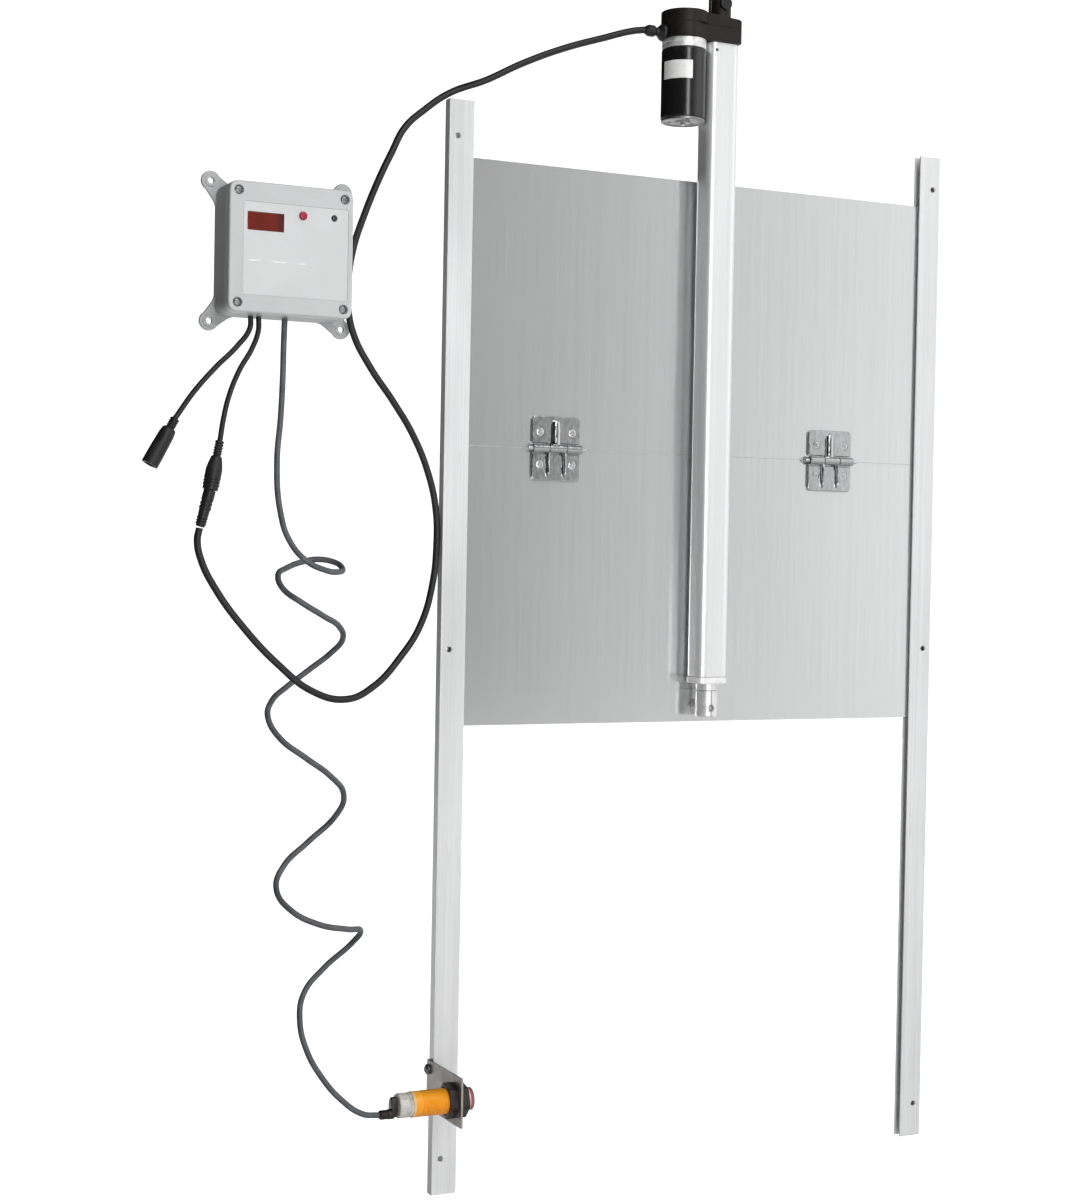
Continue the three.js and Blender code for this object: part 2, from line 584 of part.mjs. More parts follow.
// A bar along Y at the same reach from the box centre in every corner.
function barInEachCorner(reach, radius, back, front, sides = 12) {
  return CORNERS.map(([x, z]) =>
    bar('y', radius, -front, -back, sides).translate(x * reach, 0, z * reach));
}

function boxOutline(inset) {
  const size = BOX_SIZE - 2 * inset;
  return roundedRectangle(size, size, BOX_CORNER - inset);
}

function boxBase() {
  const outside = raiseFromWall(boxOutline(0), 0, BOX_BASE_DEPTH);
  const inside = raiseFromWall(boxOutline(BOX_WALL), BOX_WALL, BOX_BASE_DEPTH + 1);
  const posts = barInEachCorner(LID_SCREW_REACH, 4, 1, BOX_BASE_DEPTH);
  const screwHoles = barInEachCorner(LID_SCREW_REACH, 1.7, 8, BOX_BASE_DEPTH + 1, 10);
  const earHoles = barInEachCorner(EAR_REACH, 2.2, -1, EAR_THICKNESS + 1);
  const underside = -BOX_SIZE / 2;
  const outlets = Object.entries(BOX_OUTLETS).map(([cord, x]) => {
    const diameter = cord === 'sensor' ? SENSOR_CABLE_DIAMETER : LEAD_DIAMETER;
    const drill = bar('z', diameter / 2 + 0.2, underside - 1, underside + BOX_WALL + 1, 12);
    return drill.translate(x, OUTLET_Y, 0);
  });
  const shell = join(cut(outside, inside), ...posts, ...CORNERS.flatMap(boxEar));
  return piece('box_base', cut(shell, ...screwHoles, ...earHoles, ...outlets), 'abs');
}

function boxLid() {
  const back = BOX_BASE_DEPTH + GAP;
  const outside = raiseFromWall(boxOutline(0), back, BOX_DEPTH);
  const inside = raiseFromWall(boxOutline(BOX_WALL), back - 1, BOX_DEPTH - BOX_WALL);
  const posts = barInEachCorner(LID_SCREW_REACH, 4, back, BOX_DEPTH - 1);
  const screwHoles = barInEachCorner(LID_SCREW_REACH, 2.1, back - 1, BOX_DEPTH + 1);
  const recesses = barInEachCorner(LID_SCREW_REACH, 3.7, BOX_DEPTH - 2.6, BOX_DEPTH + 1, 14);
  const { x, z, width, height } = DISPLAY;
  const window = block(
    [x - width / 2, -BOX_DEPTH - 1, z - height / 2], [x + width / 2, -back, z + height / 2]);
  const roundHole = (fitting) =>
    bar('y', fitting.radius + GAP, -BOX_DEPTH - 1, -back, 12).translate(fitting.x, 0, fitting.z);
  const shell = join(cut(outside, inside), ...posts);
  const holes = [...screwHoles, ...recesses, window, roundHole(BUTTON), roundHole(LIGHT_SENSOR)];
  return piece('box_lid', cut(shell, ...holes), 'abs');
}

function displayWindow() {
  const { x, z, width, height } = DISPLAY;
  const pane = block(
    [x - width / 2 + GAP, -BOX_DEPTH + 0.4, z - height / 2 + GAP],
    [x + width / 2 - GAP, -BOX_DEPTH + 2, z + height / 2 - GAP]);
  return piece('display_window', pane, 'display');
}

function displayModule() {
  const { x, z } = DISPLAY;
  const body = block([x - 11.5, -31.5, z - 5], [x + 11.5, BOARD_FRONT - GAP, z + 5]);
  return piece('display_module', body, 'dark');
}

function circuitBoard() {
  return piece('circuit_board', block([-34, BOARD_FRONT, -30], [34, BOARD_BACK, 30]), 'board');
}

// The cap stands proud of the lid, on a flange inside that stops it falling out.
function pushButton() {
  const top = -BOX_DEPTH - BUTTON.proud;
  const flange = -BOX_DEPTH + BOX_WALL + GAP;
  const profile = [
    [0, top], [BUTTON.radius - 0.4, top], [BUTTON.radius, top + 0.5], [BUTTON.radius, flange],
    [4, flange], [4, flange + 1], [1.8, flange + 1], [1.8, -22], [0, -22],
  ];
  return piece('push_button', turned(profile, 18).translate(BUTTON.x, 0, BUTTON.z), 'red');
}

function lightSensor() {
  const { x, z, radius } = LIGHT_SENSOR;
  const profile = [
    [0, -BOX_DEPTH - 0.6], [radius * 0.7, -BOX_DEPTH - 0.4], [radius, -BOX_DEPTH + 0.4],
    [radius, BOARD_FRONT - GAP], [0, BOARD_FRONT - GAP],
  ];
  return piece('light_sensor', turned(profile, 14).translate(x, 0, z), 'dark');
}

function lidScrew(number, [x, z]) {
  const head = -BOX_DEPTH + 0.5;
  const tip = -10;
  const profile = [
    [0, head], [3.3, head], [3.3, head + 1.6], [1.4, head + 1.6], [1.4, tip], [0, tip]];
  const screw = turned(profile, 14).translate(x * LID_SCREW_REACH, 0, z * LID_SCREW_REACH);
  return piece(`lid_screw_${number}`, screw, 'steel');
}

function controlBox() {
  const box = new THREE.Group();
  box.position.set(BOX_X, 0, BOX_Z);
  box.add(boxBase(), boxLid(), displayWindow(), displayModule(), circuitBoard());
  box.add(pushButton(), lightSensor());
  CORNERS.forEach((corner, i) => box.add(lidScrew(i + 1, corner)));
  return box;
}

// ---------------------------------------------------------------- beam sensor, about its axis
const RAIL_OUTSIDE = -(RAIL_SPACING + RAIL_WIDTH) / 2;

function sensorBracket() {
  const { thickness, front, bottom, top } = SENSOR_PLATE;
  const left = RAIL_OUTSIDE - GAP - thickness;
  const plate = block([left, front, bottom], [left + thickness, -0.5, top]);
  const drill = (radius, y, z, sides) =>
    bar('x', radius, left - 1, left + thickness + 1, sides).translate(0, y, z);
  const sensorHole = drill(SENSOR_NUT.inner, SENSOR_Y, SENSOR_Z, 24);
  const boltHole = drill(BOLT_HOLE_RADIUS, BOLT_Y, BOLT_Z, 12);
  return piece('sensor_bracket', cut(plate, sensorHole, boltHole), 'zinc');
}

// Along +X from its head outside the bracket to its tip inside the rail.
function bracketBolt() {
  const plateFace = RAIL_OUTSIDE - GAP - SENSOR_PLATE.thickness - GAP;
  const [head, tip] = [plateFace - 2.6, RAIL_OUTSIDE + 5];
  const profile = [[0, head], [3.6, head], [3.6, plateFace], [2, plateFace], [2, tip], [0, tip]];
  const bolt = turned(profile, 12).rotateZ(-QUARTER).translate(0, BOLT_Y, BOLT_Z);
  return piece('bracket_bolt', bolt, 'steel');
}

function sensorPiece(name, { from, to, radius }, look) {
  return piece(name, bar('x', radius, from, to, 24).translate(0, SENSOR_Y, SENSOR_Z), look);
}

function sensorNut(name, from) {
  const { outer, inner, width } = SENSOR_NUT;
  const nut = raise(ring(outer, inner), 0, width, 12).rotateY(QUARTER);
  return piece(name, nut.translate(from, SENSOR_Y, SENSOR_Z), 'black');
}

// A disc behind the rear cap, with a tail low down that the cable leaves by.
function sensorCableOutlet() {
  const face = SENSOR_CAP.from - GAP;
  const disc = bar('x', 7, face - 4.2, face, 18).translate(0, 0, -0.6);
  const tail = bar('x', 3.4, SENSOR_TAIL_END, face - 2, 14).translate(0, 0, -5);
  return piece('sensor_cable_outlet', join(disc, tail).translate(0, SENSOR_Y, SENSOR_Z), 'rubber');
}

function beamSensor() {
  const sensor = new THREE.Group();
  const plate = RAIL_OUTSIDE - GAP - SENSOR_PLATE.thickness;
  sensor.add(
    sensorBracket(), bracketBolt(),
    sensorPiece('sensor_body', SENSOR_BODY, 'orange'),
    sensorPiece('sensor_rear_cap', SENSOR_CAP, 'clear'),
    sensorPiece('sensor_lens', SENSOR_LENS, 'lens'),
    sensorNut('sensor_nut_rear', plate - GAP - SENSOR_NUT.width),
    sensorNut('sensor_nut_front', RAIL_OUTSIDE),
    sensorCableOutlet());
  return sensor;
}

// ---------------------------------------------------------------- cords and what is on them
function powerJack() {
  const length = lengthBetween(POWER_JACK_AXIS);
  const profile = [
    [0, 0], [3.4, 0], [3.4, 4], [4.6, 8], [5.6, length - 2], [5.6, length],
    [3.2, length], [3.2, length - 9], [1, length - 9], [1, length - 1], [0, length - 1],
  ];
  return piece('power_jack', turnedAlong(POWER_JACK_AXIS, profile), 'rubber');
}

function actuatorSocket() {
  const length = lengthBetween(SOCKET_AXIS);
  const profile = [
    [0, 0], [2.9, 0], [2.9, 2], [4.4, 12], [5.5, 20], [5.5, length - 2], [5, length], [0, length]];
  return piece('actuator_socket', turnedAlong(SOCKET_AXIS, profile), 'rubber');
}

function motorPlug() {
  const length = lengthBetween(PLUG_AXIS);
  const profile = [[0, 0], [4, 0], [4, 10], [3.4, 20], [4, length - 3], [3.2, length], [0, length]];
  return piece('motor_plug', turnedAlong(PLUG_AXIS, profile), 'rubber');
}

function cords() {
  const cordGroup = new THREE.Group();
  cordGroup.add(
    piece('motor_cable', cordAlong(MOTOR_CABLE_ROUTE, MOTOR_CABLE_DIAMETER, 8, 66), 'rubber'),
    piece('power_lead', cordAlong(POWER_LEAD_ROUTE, LEAD_DIAMETER, 8, 10), 'rubber'),
    piece('actuator_lead', cordAlong(ACTUATOR_LEAD_ROUTE, LEAD_DIAMETER, 8, 10), 'rubber'),
    piece('sensor_cable', cordAlong(SENSOR_CABLE_ROUTE, SENSOR_CABLE_DIAMETER, 8, 80), 'greyRubber'),
    powerJack(), actuatorSocket(), motorPlug());
  return cordGroup;
}

// ---------------------------------------------------------------- assembly
const group = new THREE.Group();
group.add(rail('left_rail', -1), rail('right_rail', 1));
group.add(upperPanel(), lowerPanel(), hinge('left'), hinge('right'));
group.add(actuator(), controlBox(), beamSensor(), cords());

export default group;
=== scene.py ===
"""Automatic coop door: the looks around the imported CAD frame. Metres, +Z up, the front faces -Y."""

import math

import bmesh
import bpy
from mathutils import Matrix, Vector


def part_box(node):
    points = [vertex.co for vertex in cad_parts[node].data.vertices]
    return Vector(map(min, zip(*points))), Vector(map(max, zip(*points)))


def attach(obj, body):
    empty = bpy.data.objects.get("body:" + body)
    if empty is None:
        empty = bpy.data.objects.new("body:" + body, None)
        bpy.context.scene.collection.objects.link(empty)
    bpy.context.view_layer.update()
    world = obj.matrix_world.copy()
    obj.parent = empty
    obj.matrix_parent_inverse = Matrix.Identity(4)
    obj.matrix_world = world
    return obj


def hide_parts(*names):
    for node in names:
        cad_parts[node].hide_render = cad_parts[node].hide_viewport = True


MM = 0.001

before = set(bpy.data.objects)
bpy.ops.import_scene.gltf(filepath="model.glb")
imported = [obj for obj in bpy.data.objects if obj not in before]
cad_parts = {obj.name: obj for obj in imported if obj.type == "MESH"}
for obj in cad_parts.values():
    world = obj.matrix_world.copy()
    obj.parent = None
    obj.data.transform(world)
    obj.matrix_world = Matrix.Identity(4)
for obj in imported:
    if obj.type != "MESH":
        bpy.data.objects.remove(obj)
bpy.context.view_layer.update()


def middle(node):
    """Centre of a CAD node's box."""
    low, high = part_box(node)
    return (low + high) / 2


ACTUATOR = tuple(middle("rod"))[:2]
MOTOR_X = middle("motor_can").x
PIVOT_HEIGHT = middle("pivot_bolt").z
SEAM_HEIGHT = (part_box("upper_panel")[0].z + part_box("lower_panel")[1].z) / 2

# ---------------------------------------------------------------- camera
CAMERA_AT = (-0.7636, -1.3303, 0.4432)
CAMERA_YAW = 25.73  # degrees from +Y towards +X
CAMERA_PITCH = -1.06
CAMERA_ROLL = 1.05
CAMERA_LENS = 62.03


def make_camera():
    yaw, pitch, roll = (math.radians(a) for a in (CAMERA_YAW, CAMERA_PITCH, CAMERA_ROLL))
    ahead = Vector((math.sin(yaw) * math.cos(pitch), math.cos(yaw) * math.cos(pitch), math.sin(pitch)))
    level = Vector((math.cos(yaw), -math.sin(yaw), 0.0))
    above = level.cross(ahead)
    right = math.cos(roll) * level + math.sin(roll) * above
    up = math.cos(roll) * above - math.sin(roll) * level
    turn = Matrix((right, up, -ahead)).transposed().to_4x4()
    data = bpy.data.cameras.new("camera")
    data.lens = CAMERA_LENS
    data.clip_start = 0.05
    data.clip_end = 50.0
    camera = bpy.data.objects.new("camera", data)
    camera.matrix_world = Matrix.Translation(CAMERA_AT) @ turn
    bpy.context.scene.collection.objects.link(camera)
    bpy.context.scene.camera = camera


make_camera()


# ---------------------------------------------------------------- material nodes
def shader_node(tree, kind, **settings):
    """Adds a node. A setting that starts with a capital is an input, any other a property."""
    made = tree.nodes.new("ShaderNode" + kind)
    for key, value in settings.items():
        if key[0].isupper():
            made.inputs[key.replace("_", " ")].default_value = value
        else:
            setattr(made, key, value)
    return made


class Finish:
    """A procedural material on the Principled shader, measured in the row frame's metres."""

    def __init__(self, name, colour, rough, metal=0.0, **sockets):
        self.material = bpy.data.materials.new(name)
        self.material.use_nodes = True
        self.tree = self.material.node_tree
        self.shader = self.tree.nodes["Principled BSDF"]
        self.shader.inputs["Base Color"].default_value = (*colour, 1.0)
        self.shader.inputs["Roughness"].default_value = rough
        self.shader.inputs["Metallic"].default_value = metal
        for key, value in sockets.items():
            self.shader.inputs[key.replace("_", " ")].default_value = value
        self.place = shader_node(self.tree, "TexCoord").outputs["Object"]
        self.paint = None
        self.colour = (*colour, 1.0)

    def link(self, source, node, socket):
        self.tree.links.new(source, node.inputs[socket])

    def noise(self, scale, detail=3.0, stretch=(1.0, 1.0, 1.0), shift=0.0):
        mapping = shader_node(self.tree, "Mapping", Scale=stretch, Location=(shift, shift, shift))
        self.link(self.place, mapping, "Vector")
        made = shader_node(self.tree, "TexNoise", Scale=scale, Detail=detail)
        self.link(mapping.outputs["Vector"], made, "Vector")
        return made.outputs["Fac"]

    def cells(self, scale, stretch=(1.0, 1.0, 1.0)):
        mapping = shader_node(self.tree, "Mapping", Scale=stretch)
        self.link(self.place, mapping, "Vector")
        made = shader_node(self.tree, "TexVoronoi", Scale=scale)
        self.link(mapping.outputs["Vector"], made, "Vector")
        return made.outputs["Color"], made.outputs["Distance"]

    def along(self, axis, start, end):
        """0 at start and 1 at end along a row-frame axis."""
        parts = shader_node(self.tree, "SeparateXYZ")
        self.link(self.place, parts, "Vector")
        return self.level(parts.outputs["XYZ".index(axis)], 0.0, 1.0, start, end)

    def level(self, factor, low, high, start=0.32, end=0.68):
        made = shader_node(self.tree, "MapRange", From_Min=start, From_Max=end, To_Min=low, To_Max=high)
        self.link(factor, made, "Value")
        return made.outputs["Result"]

    def _paint_into(self, node, socket):
        if self.paint is None:
            node.inputs[socket].default_value = self.colour if node.type == "MIX" else self.colour[:3]
        else:
            self.tree.links.new(self.paint, node.inputs[socket])

    def shade(self, factor, low, high, start=0.32, end=0.68):
        """Multiplies the colour by a value that runs from low to high with the factor."""
        made = shader_node(self.tree, "VectorMath", operation="SCALE")
        self._paint_into(made, 0)
        self.link(self.level(factor, low, high, start, end), made, "Scale")
        self.paint = made.outputs["Vector"]
        return self

    def stain(self, factor, colour, start=0.5, end=0.7, most=1.0):
        """Lays another colour over the first where the factor is high."""
        made = shader_node(self.tree, "Mix", data_type="RGBA")
        self._paint_into(made, 6)
        made.inputs[7].default_value = (*colour, 1.0)
        self.link(self.level(factor, 0.0, most, start, end), made, 0)
        self.paint = made.outputs[2]
        return self

    def gloss(self, factor, low, high, start=0.32, end=0.68):
        self.link(self.level(factor, low, high, start, end), self.shader, "Roughness")
        return self

    def bump(self, height, depth, strength=1.0):
        made = shader_node(self.tree, "Bump", Strength=strength, Distance=depth)
        self.link(height, made, "Height")
        if self.shader.inputs["Normal"].is_linked:
            self.link(self.shader.inputs["Normal"].links[0].from_socket, made, "Normal")
        self.link(made.outputs["Normal"], self.shader, "Normal")
        return self

    def done(self):
        if self.paint is not None:
            self.link(self.paint, self.shader, "Base Color")
        return self.material


# ---------------------------------------------------------------- materials
def rail_aluminium():
    """Mill-finish extrusion: die lines along the rail, a few handling marks."""
    made = Finish("rail_aluminium", (0.78, 0.785, 0.79), 0.4, 0.2)
    lines = made.noise(900.0, 2.0, (1.0, 1.0, 0.004))
    cloud = made.noise(22.0, 4.0, (1.0, 1.0, 0.35))
    marks = made.noise(260.0, 5.0, (1.0, 1.0, 0.12), 3.1)
    made.shade(lines, 0.93, 1.04).shade(cloud, 0.95, 1.03).shade(marks, 1.0, 0.93, 0.6, 0.75)
    made.gloss(cloud, 0.28, 0.42)
    return made.bump(lines, 0.00006, 0.5).bump(marks, 0.00005, 0.3).done()


def panel_aluminium():
    """Brushed sheet: fine upright grain, broader streaks, faint clouding."""
    made = Finish("panel_aluminium", (0.76, 0.765, 0.77), 0.17, 0.85)
    grain = made.noise(2400.0, 3.0, (1.0, 1.0, 0.006))
    streaks = made.noise(260.0, 3.0, (1.0, 1.0, 0.008), 1.7)
    cloud = made.noise(7.0, 3.0, (1.0, 1.0, 0.5), 4.2)
    made.shade(grain, 0.965, 1.035).shade(streaks, 0.985, 1.015).shade(cloud, 0.97, 1.03, 0.15, 0.85)
    made.gloss(cloud, 0.155, 0.185, 0.15, 0.85)
    return made.bump(grain, 0.00004, 0.3).bump(streaks, 0.00005, 0.08).done()


def tube_aluminium():
    """Anodised drawn tube: satin, with very fine lines along it."""
    made = Finish("tube_aluminium", (0.90, 0.905, 0.91), 0.38, 0.6)
    lines = made.noise(1500.0, 2.0, (1.0, 1.0, 0.003))
    cloud = made.noise(30.0, 3.0, (1.0, 1.0, 0.1))
    made.shade(lines, 0.96, 1.03).shade(cloud, 0.97, 1.02)
    made.gloss(cloud, 0.35, 0.42)
    return made.bump(lines, 0.00004, 0.35).done()


def hinge_chrome():
    """Pressed steel plated bright: slightly wavy, with smudges."""
    made = Finish("hinge_chrome", (0.56, 0.565, 0.57), 0.14, 1.0)
    waves = made.noise(160.0, 2.0)
    smudge = made.noise(420.0, 5.0, (1.0, 1.0, 0.6), 2.3)
    made.shade(smudge, 0.88, 1.05)
    made.gloss(smudge, 0.09, 0.26)
    return made.bump(waves, 0.0004, 0.35).bump(smudge, 0.00006, 0.4).done()


def bright_steel(name="bright_steel", tint=(0.78, 0.785, 0.79), rough=0.2, metal=1.0):
    made = Finish(name, tint, rough, metal)
    turned = made.noise(1800.0, 2.0, (0.02, 0.02, 1.0))
    smudge = made.noise(150.0, 4.0)
    made.shade(turned, 0.94, 1.04).shade(smudge, 0.93, 1.04)
    made.gloss(smudge, rough * 0.8, rough * 1.5)
    return made.bump(turned, 0.00005, 0.35).done()


def dark_steel():
    made = Finish("dark_steel", (0.30, 0.30, 0.305), 0.34, 0.95)
    grime = made.noise(500.0, 5.0)
    made.shade(grime, 0.72, 1.25)
    made.gloss(grime, 0.26, 0.5)
    return made.bump(grime, 0.0001, 0.4).done()


def zinc_plate():
    """Zinc-plated sheet, dulled brown-grey, with broad soft crystals."""
    made = Finish("zinc_plate", (0.42, 0.385, 0.36), 0.42, 0.75)
    crystals, _ = made.cells(170.0)
    dulling = made.noise(55.0, 5.0)
    scratches = made.noise(700.0, 3.0, (1.0, 0.05, 1.0), 5.0)
    made.shade(crystals, 0.88, 1.06, 0.0, 1.0).shade(dulling, 0.85, 1.1)
    made.gloss(dulling, 0.36, 0.56)
    return made.bump(crystals, 0.00004, 0.3).bump(scratches, 0.00005, 0.3).done()


def housing_plastic():
    """Glass-filled black nylon: brown-black, spark-eroded texture."""
    made = Finish("housing_plastic", (0.0105, 0.0085, 0.0075), 0.46, 0.0, Specular_IOR_Level=0.26)
    grain = made.noise(2600.0, 3.0)
    cloud = made.noise(90.0, 4.0)
    made.shade(cloud, 0.8, 1.35).shade(grain, 0.85, 1.2)
    made.gloss(cloud, 0.42, 0.54)
    return made.bump(grain, 0.00012, 0.4).done()


def motor_paint():
    """Stoved gloss black over steel, with slight orange peel."""
    made = Finish("motor_paint", (0.009, 0.009, 0.0095), 0.22, 0.0, Specular_IOR_Level=0.6)
    peel = made.noise(700.0, 2.0)
    dust = made.noise(1500.0, 5.0, (1.0, 1.0, 1.0), 2.0)
    made.stain(dust, (0.08, 0.078, 0.075), 0.62, 0.8, 0.5)
    made.gloss(dust, 0.19, 0.27)
    return made.bump(peel, 0.00006, 0.3).done()


def label_paper():
    """Blank white label: the print is left out, only a soft smudge remains."""
    made = Finish("label_paper", (0.93, 0.93, 0.91), 0.42, 0.0, Coat_Weight=0.25, Coat_Roughness=0.3)
    fibre = made.noise(1400.0, 4.0)
    smudge = made.noise(180.0, 2.0, (1.0, 1.0, 1.6), 7.3)
    made.shade(fibre, 0.965, 1.02).stain(smudge, (0.5, 0.51, 0.51), 0.54, 0.78, 0.5)
    return made.bump(fibre, 0.00003, 0.3).done()


def box_plastic(name="box_plastic", colour=(0.57, 0.575, 0.58), rough=0.46):
    """Moulded light grey ABS with a fine satin texture."""
    made = Finish(name, colour, rough, 0.0, Specular_IOR_Level=0.45)
    grain = made.noise(3200.0, 2.0)
    flow = made.noise(24.0, 4.0, (1.0, 1.0, 0.6))
    scuffs = made.noise(340.0, 6.0, (0.3, 1.0, 1.0), 9.0)
    made.shade(flow, 0.965, 1.03).shade(grain, 0.98, 1.015).shade(scuffs, 1.0, 0.93, 0.62, 0.8)
    made.gloss(flow, rough - 0.06, rough + 0.08)
    return made.bump(grain, 0.00006, 0.35).bump(flow, 0.0002, 0.12).done()


def box_overlay():
    """Printed film on the lid: a little lighter and smoother than the moulding."""
    made = Finish("box_overlay", (0.65, 0.655, 0.66), 0.38, 0.0, Coat_Weight=0.15, Coat_Roughness=0.3)
    weave = made.noise(2200.0, 2.0)
    ripple = made.noise(40.0, 2.0, (1.0, 1.0, 1.0), 3.0)
    made.shade(ripple, 0.98, 1.02).shade(weave, 0.985, 1.015)
    made.gloss(ripple, 0.33, 0.45)
    return made.bump(weave, 0.00004, 0.25).bump(ripple, 0.0002, 0.15).done()


def gloss_plastic(name, colour, rough=0.22, depth=0.00008, **sockets):
    """Moulded plastic with a gloss that varies, for small coloured parts."""
    made = Finish(name, colour, rough, 0.0, **sockets)
    flow = made.noise(120.0, 3.0)
    grain = made.noise(2400.0, 3.0, (1.0, 1.0, 1.0), 1.0)
    made.shade(flow, 0.86, 1.12).shade(grain, 0.95, 1.05)
    made.gloss(flow, rough * 0.75, rough * 1.5)
    return made.bump(grain, depth, 0.35).done()


def display_red():
    """Smoked red window; the digits behind it are off and the right end is darker."""
    box_low, box_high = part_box("display_window")
    made = Finish("display_red", (0.165, 0.020, 0.012), 0.16, 0.0, Coat_Weight=0.5, Coat_Roughness=0.08)
    made.stain(made.along("X", box_low.x, box_high.x), (0.075, 0.016, 0.02), 0.72, 1.0, 0.9)
    depth = made.noise(110.0, 2.0)
    grain = made.noise(1800.0, 2.0)
    made.shade(depth, 0.9, 1.12).shade(grain, 0.95, 1.05)
    return made.bump(grain, 0.00003, 0.25).done()


def sensor_orange():
    """Moulded orange barrel with a painted highlight: yellower along the top, darker underneath."""
    low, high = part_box("sensor_body")
    made = Finish("sensor_orange", (1.0, 0.37, 0.008), 0.34, 0.0, Coat_Weight=0.1, Coat_Roughness=0.2)
    # Painted highlight: the top of the barrel is painted yellower and lighter, where light from above falls.
    made.stain(made.along("Z", low.z, high.z), (1.0, 0.46, 0.03), 0.55, 1.0, 0.7)
    flow = made.noise(90.0, 3.0, (0.5, 1.0, 1.0))
    grain = made.noise(1900.0, 3.0)
    made.shade(flow, 0.93, 1.04).shade(grain, 0.97, 1.02)
    made.gloss(flow, 0.24, 0.4)
    return made.bump(grain, 0.00005, 0.3).done()


def sensor_smoke():
    """Frosted clear cap: something dark shows through it in places."""
    made = Finish("sensor_smoke", (0.78, 0.75, 0.70), 0.22, 0.0, Transmission_Weight=0.2, IOR=1.49)
    inside = made.noise(210.0, 2.0, (1.6, 1.0, 1.0), 1.3)
    grain = made.noise(1500.0, 3.0)
    made.stain(inside, (0.22, 0.21, 0.2), 0.52, 0.72, 0.7).shade(grain, 0.95, 1.05)
    made.gloss(inside, 0.18, 0.35)
    return made.bump(grain, 0.00005, 0.3).done()


def lens_plastic():
    """Tinted clear plastic with a little dust."""
    made = Finish("sensor_lens", (0.30, 0.085, 0.105), 0.1, 0.0, Coat_Weight=0.6, Coat_Roughness=0.05)
    depth = made.noise(150.0, 2.0)
    dust = made.noise(1700.0, 4.0)
    made.shade(depth, 0.82, 1.18).stain(dust, (0.5, 0.35, 0.36), 0.64, 0.8, 0.4)
    return made.bump(dust, 0.00003, 0.2).done()


def cord_rubber(name, colour, rough):
    """Extruded PVC jacket: faint draw lines and a matt bloom."""
    made = Finish(name, colour, rough, 0.0, Specular_IOR_Level=0.4)
    bloom = made.noise(130.0, 5.0)
    grain = made.noise(2600.0, 3.0)
    made.shade(bloom, 0.8, 1.3).shade(grain, 0.92, 1.1)
    made.gloss(bloom, rough - 0.08, rough + 0.1)
    return made.bump(grain, 0.00006, 0.35).done()


def board_green():
    made = Finish("board_green", (0.02, 0.12, 0.045), 0.35, 0.0, Coat_Weight=0.4, Coat_Roughness=0.2)
    tracks, gap = made.cells(330.0, (1.0, 1.0, 0.5))
    made.stain(tracks, (0.05, 0.21, 0.08), 0.55, 0.6)
    made.stain(gap, (0.6, 0.58, 0.5), 0.0, 0.12, 0.0)
    pads = made.noise(800.0, 0.0)
    made.stain(pads, (0.62, 0.6, 0.55), 0.7, 0.72)
    return made.bump(tracks, 0.00005, 0.4).done()


def metal_part(name, colour, rough, grain_scale=900.0):
    made = Finish(name, colour, rough, 1.0)
    grain = made.noise(grain_scale, 4.0)
    cloud = made.noise(80.0, 3.0)
    made.shade(grain, 0.9, 1.06).shade(cloud, 0.92, 1.05)
    made.gloss(cloud, rough * 0.8, rough * 1.4)
    return made.bump(grain, 0.00006, 0.35).done()


MAT = {
    "rail": rail_aluminium(),
    "panel": panel_aluminium(),
    "tube": tube_aluminium(),
    "chrome": hinge_chrome(),
    "bright": bright_steel(),
    "screw": bright_steel("screw_steel", (0.62, 0.62, 0.63), 0.24),
    "bell": bright_steel("bell_steel", (0.30, 0.30, 0.305), 0.42),
    "collar": bright_steel("collar_steel", (0.84, 0.84, 0.84), 0.42, 0.7),
    "cap": bright_steel("cap_alloy", (0.90, 0.90, 0.90), 0.4, 0.35),
    "satin": bright_steel("satin_steel", (0.84, 0.84, 0.84), 0.36, 0.65),
    "dark_steel": dark_steel(),
    "black_oxide": bright_steel("black_oxide", (0.03, 0.03, 0.032), 0.4, 0.6),
    "zinc": zinc_plate(),
    "housing": housing_plastic(),
    "can": motor_paint(),
    "label": label_paper(),
    "abs": box_plastic(),
    "abs_base": box_plastic("box_base_plastic", (0.46, 0.465, 0.47), 0.5),
    "overlay": box_overlay(),
    "line": gloss_plastic("overlay_line", (0.78, 0.79, 0.79), 0.35),
    "button": gloss_plastic("button_red", (0.36, 0.003, 0.038), 0.3),
    "dark": gloss_plastic("dark_plastic", (0.035, 0.04, 0.045), 0.25),
    "display": display_red(),
    "orange": sensor_orange(),
    "cream": gloss_plastic("sensor_cream", (0.86, 0.62, 0.30), 0.3),
    "smoke": sensor_smoke(),
    "lens": lens_plastic(),
    "rim": gloss_plastic("sensor_rim", (0.75, 0.48, 0.44), 0.25),
    "nut": gloss_plastic("nut_plastic", (0.018, 0.013, 0.011), 0.32, 0.0001),
    "rubber": cord_rubber("cord_black", (0.013, 0.013, 0.0135), 0.46),
    "grey_rubber": cord_rubber("cord_grey", (0.085, 0.095, 0.10), 0.5),
    "brass": metal_part("brass", (0.62, 0.44, 0.17), 0.28),
    "nylon": gloss_plastic("nylon", (0.76, 0.73, 0.66), 0.42),
    "ferrite": gloss_plastic("magnet_ferrite", (0.04, 0.04, 0.042), 0.5, 0.0001),
    "board": board_green(),
    "steel": metal_part("steel", (0.56, 0.56, 0.57), 0.26),
}


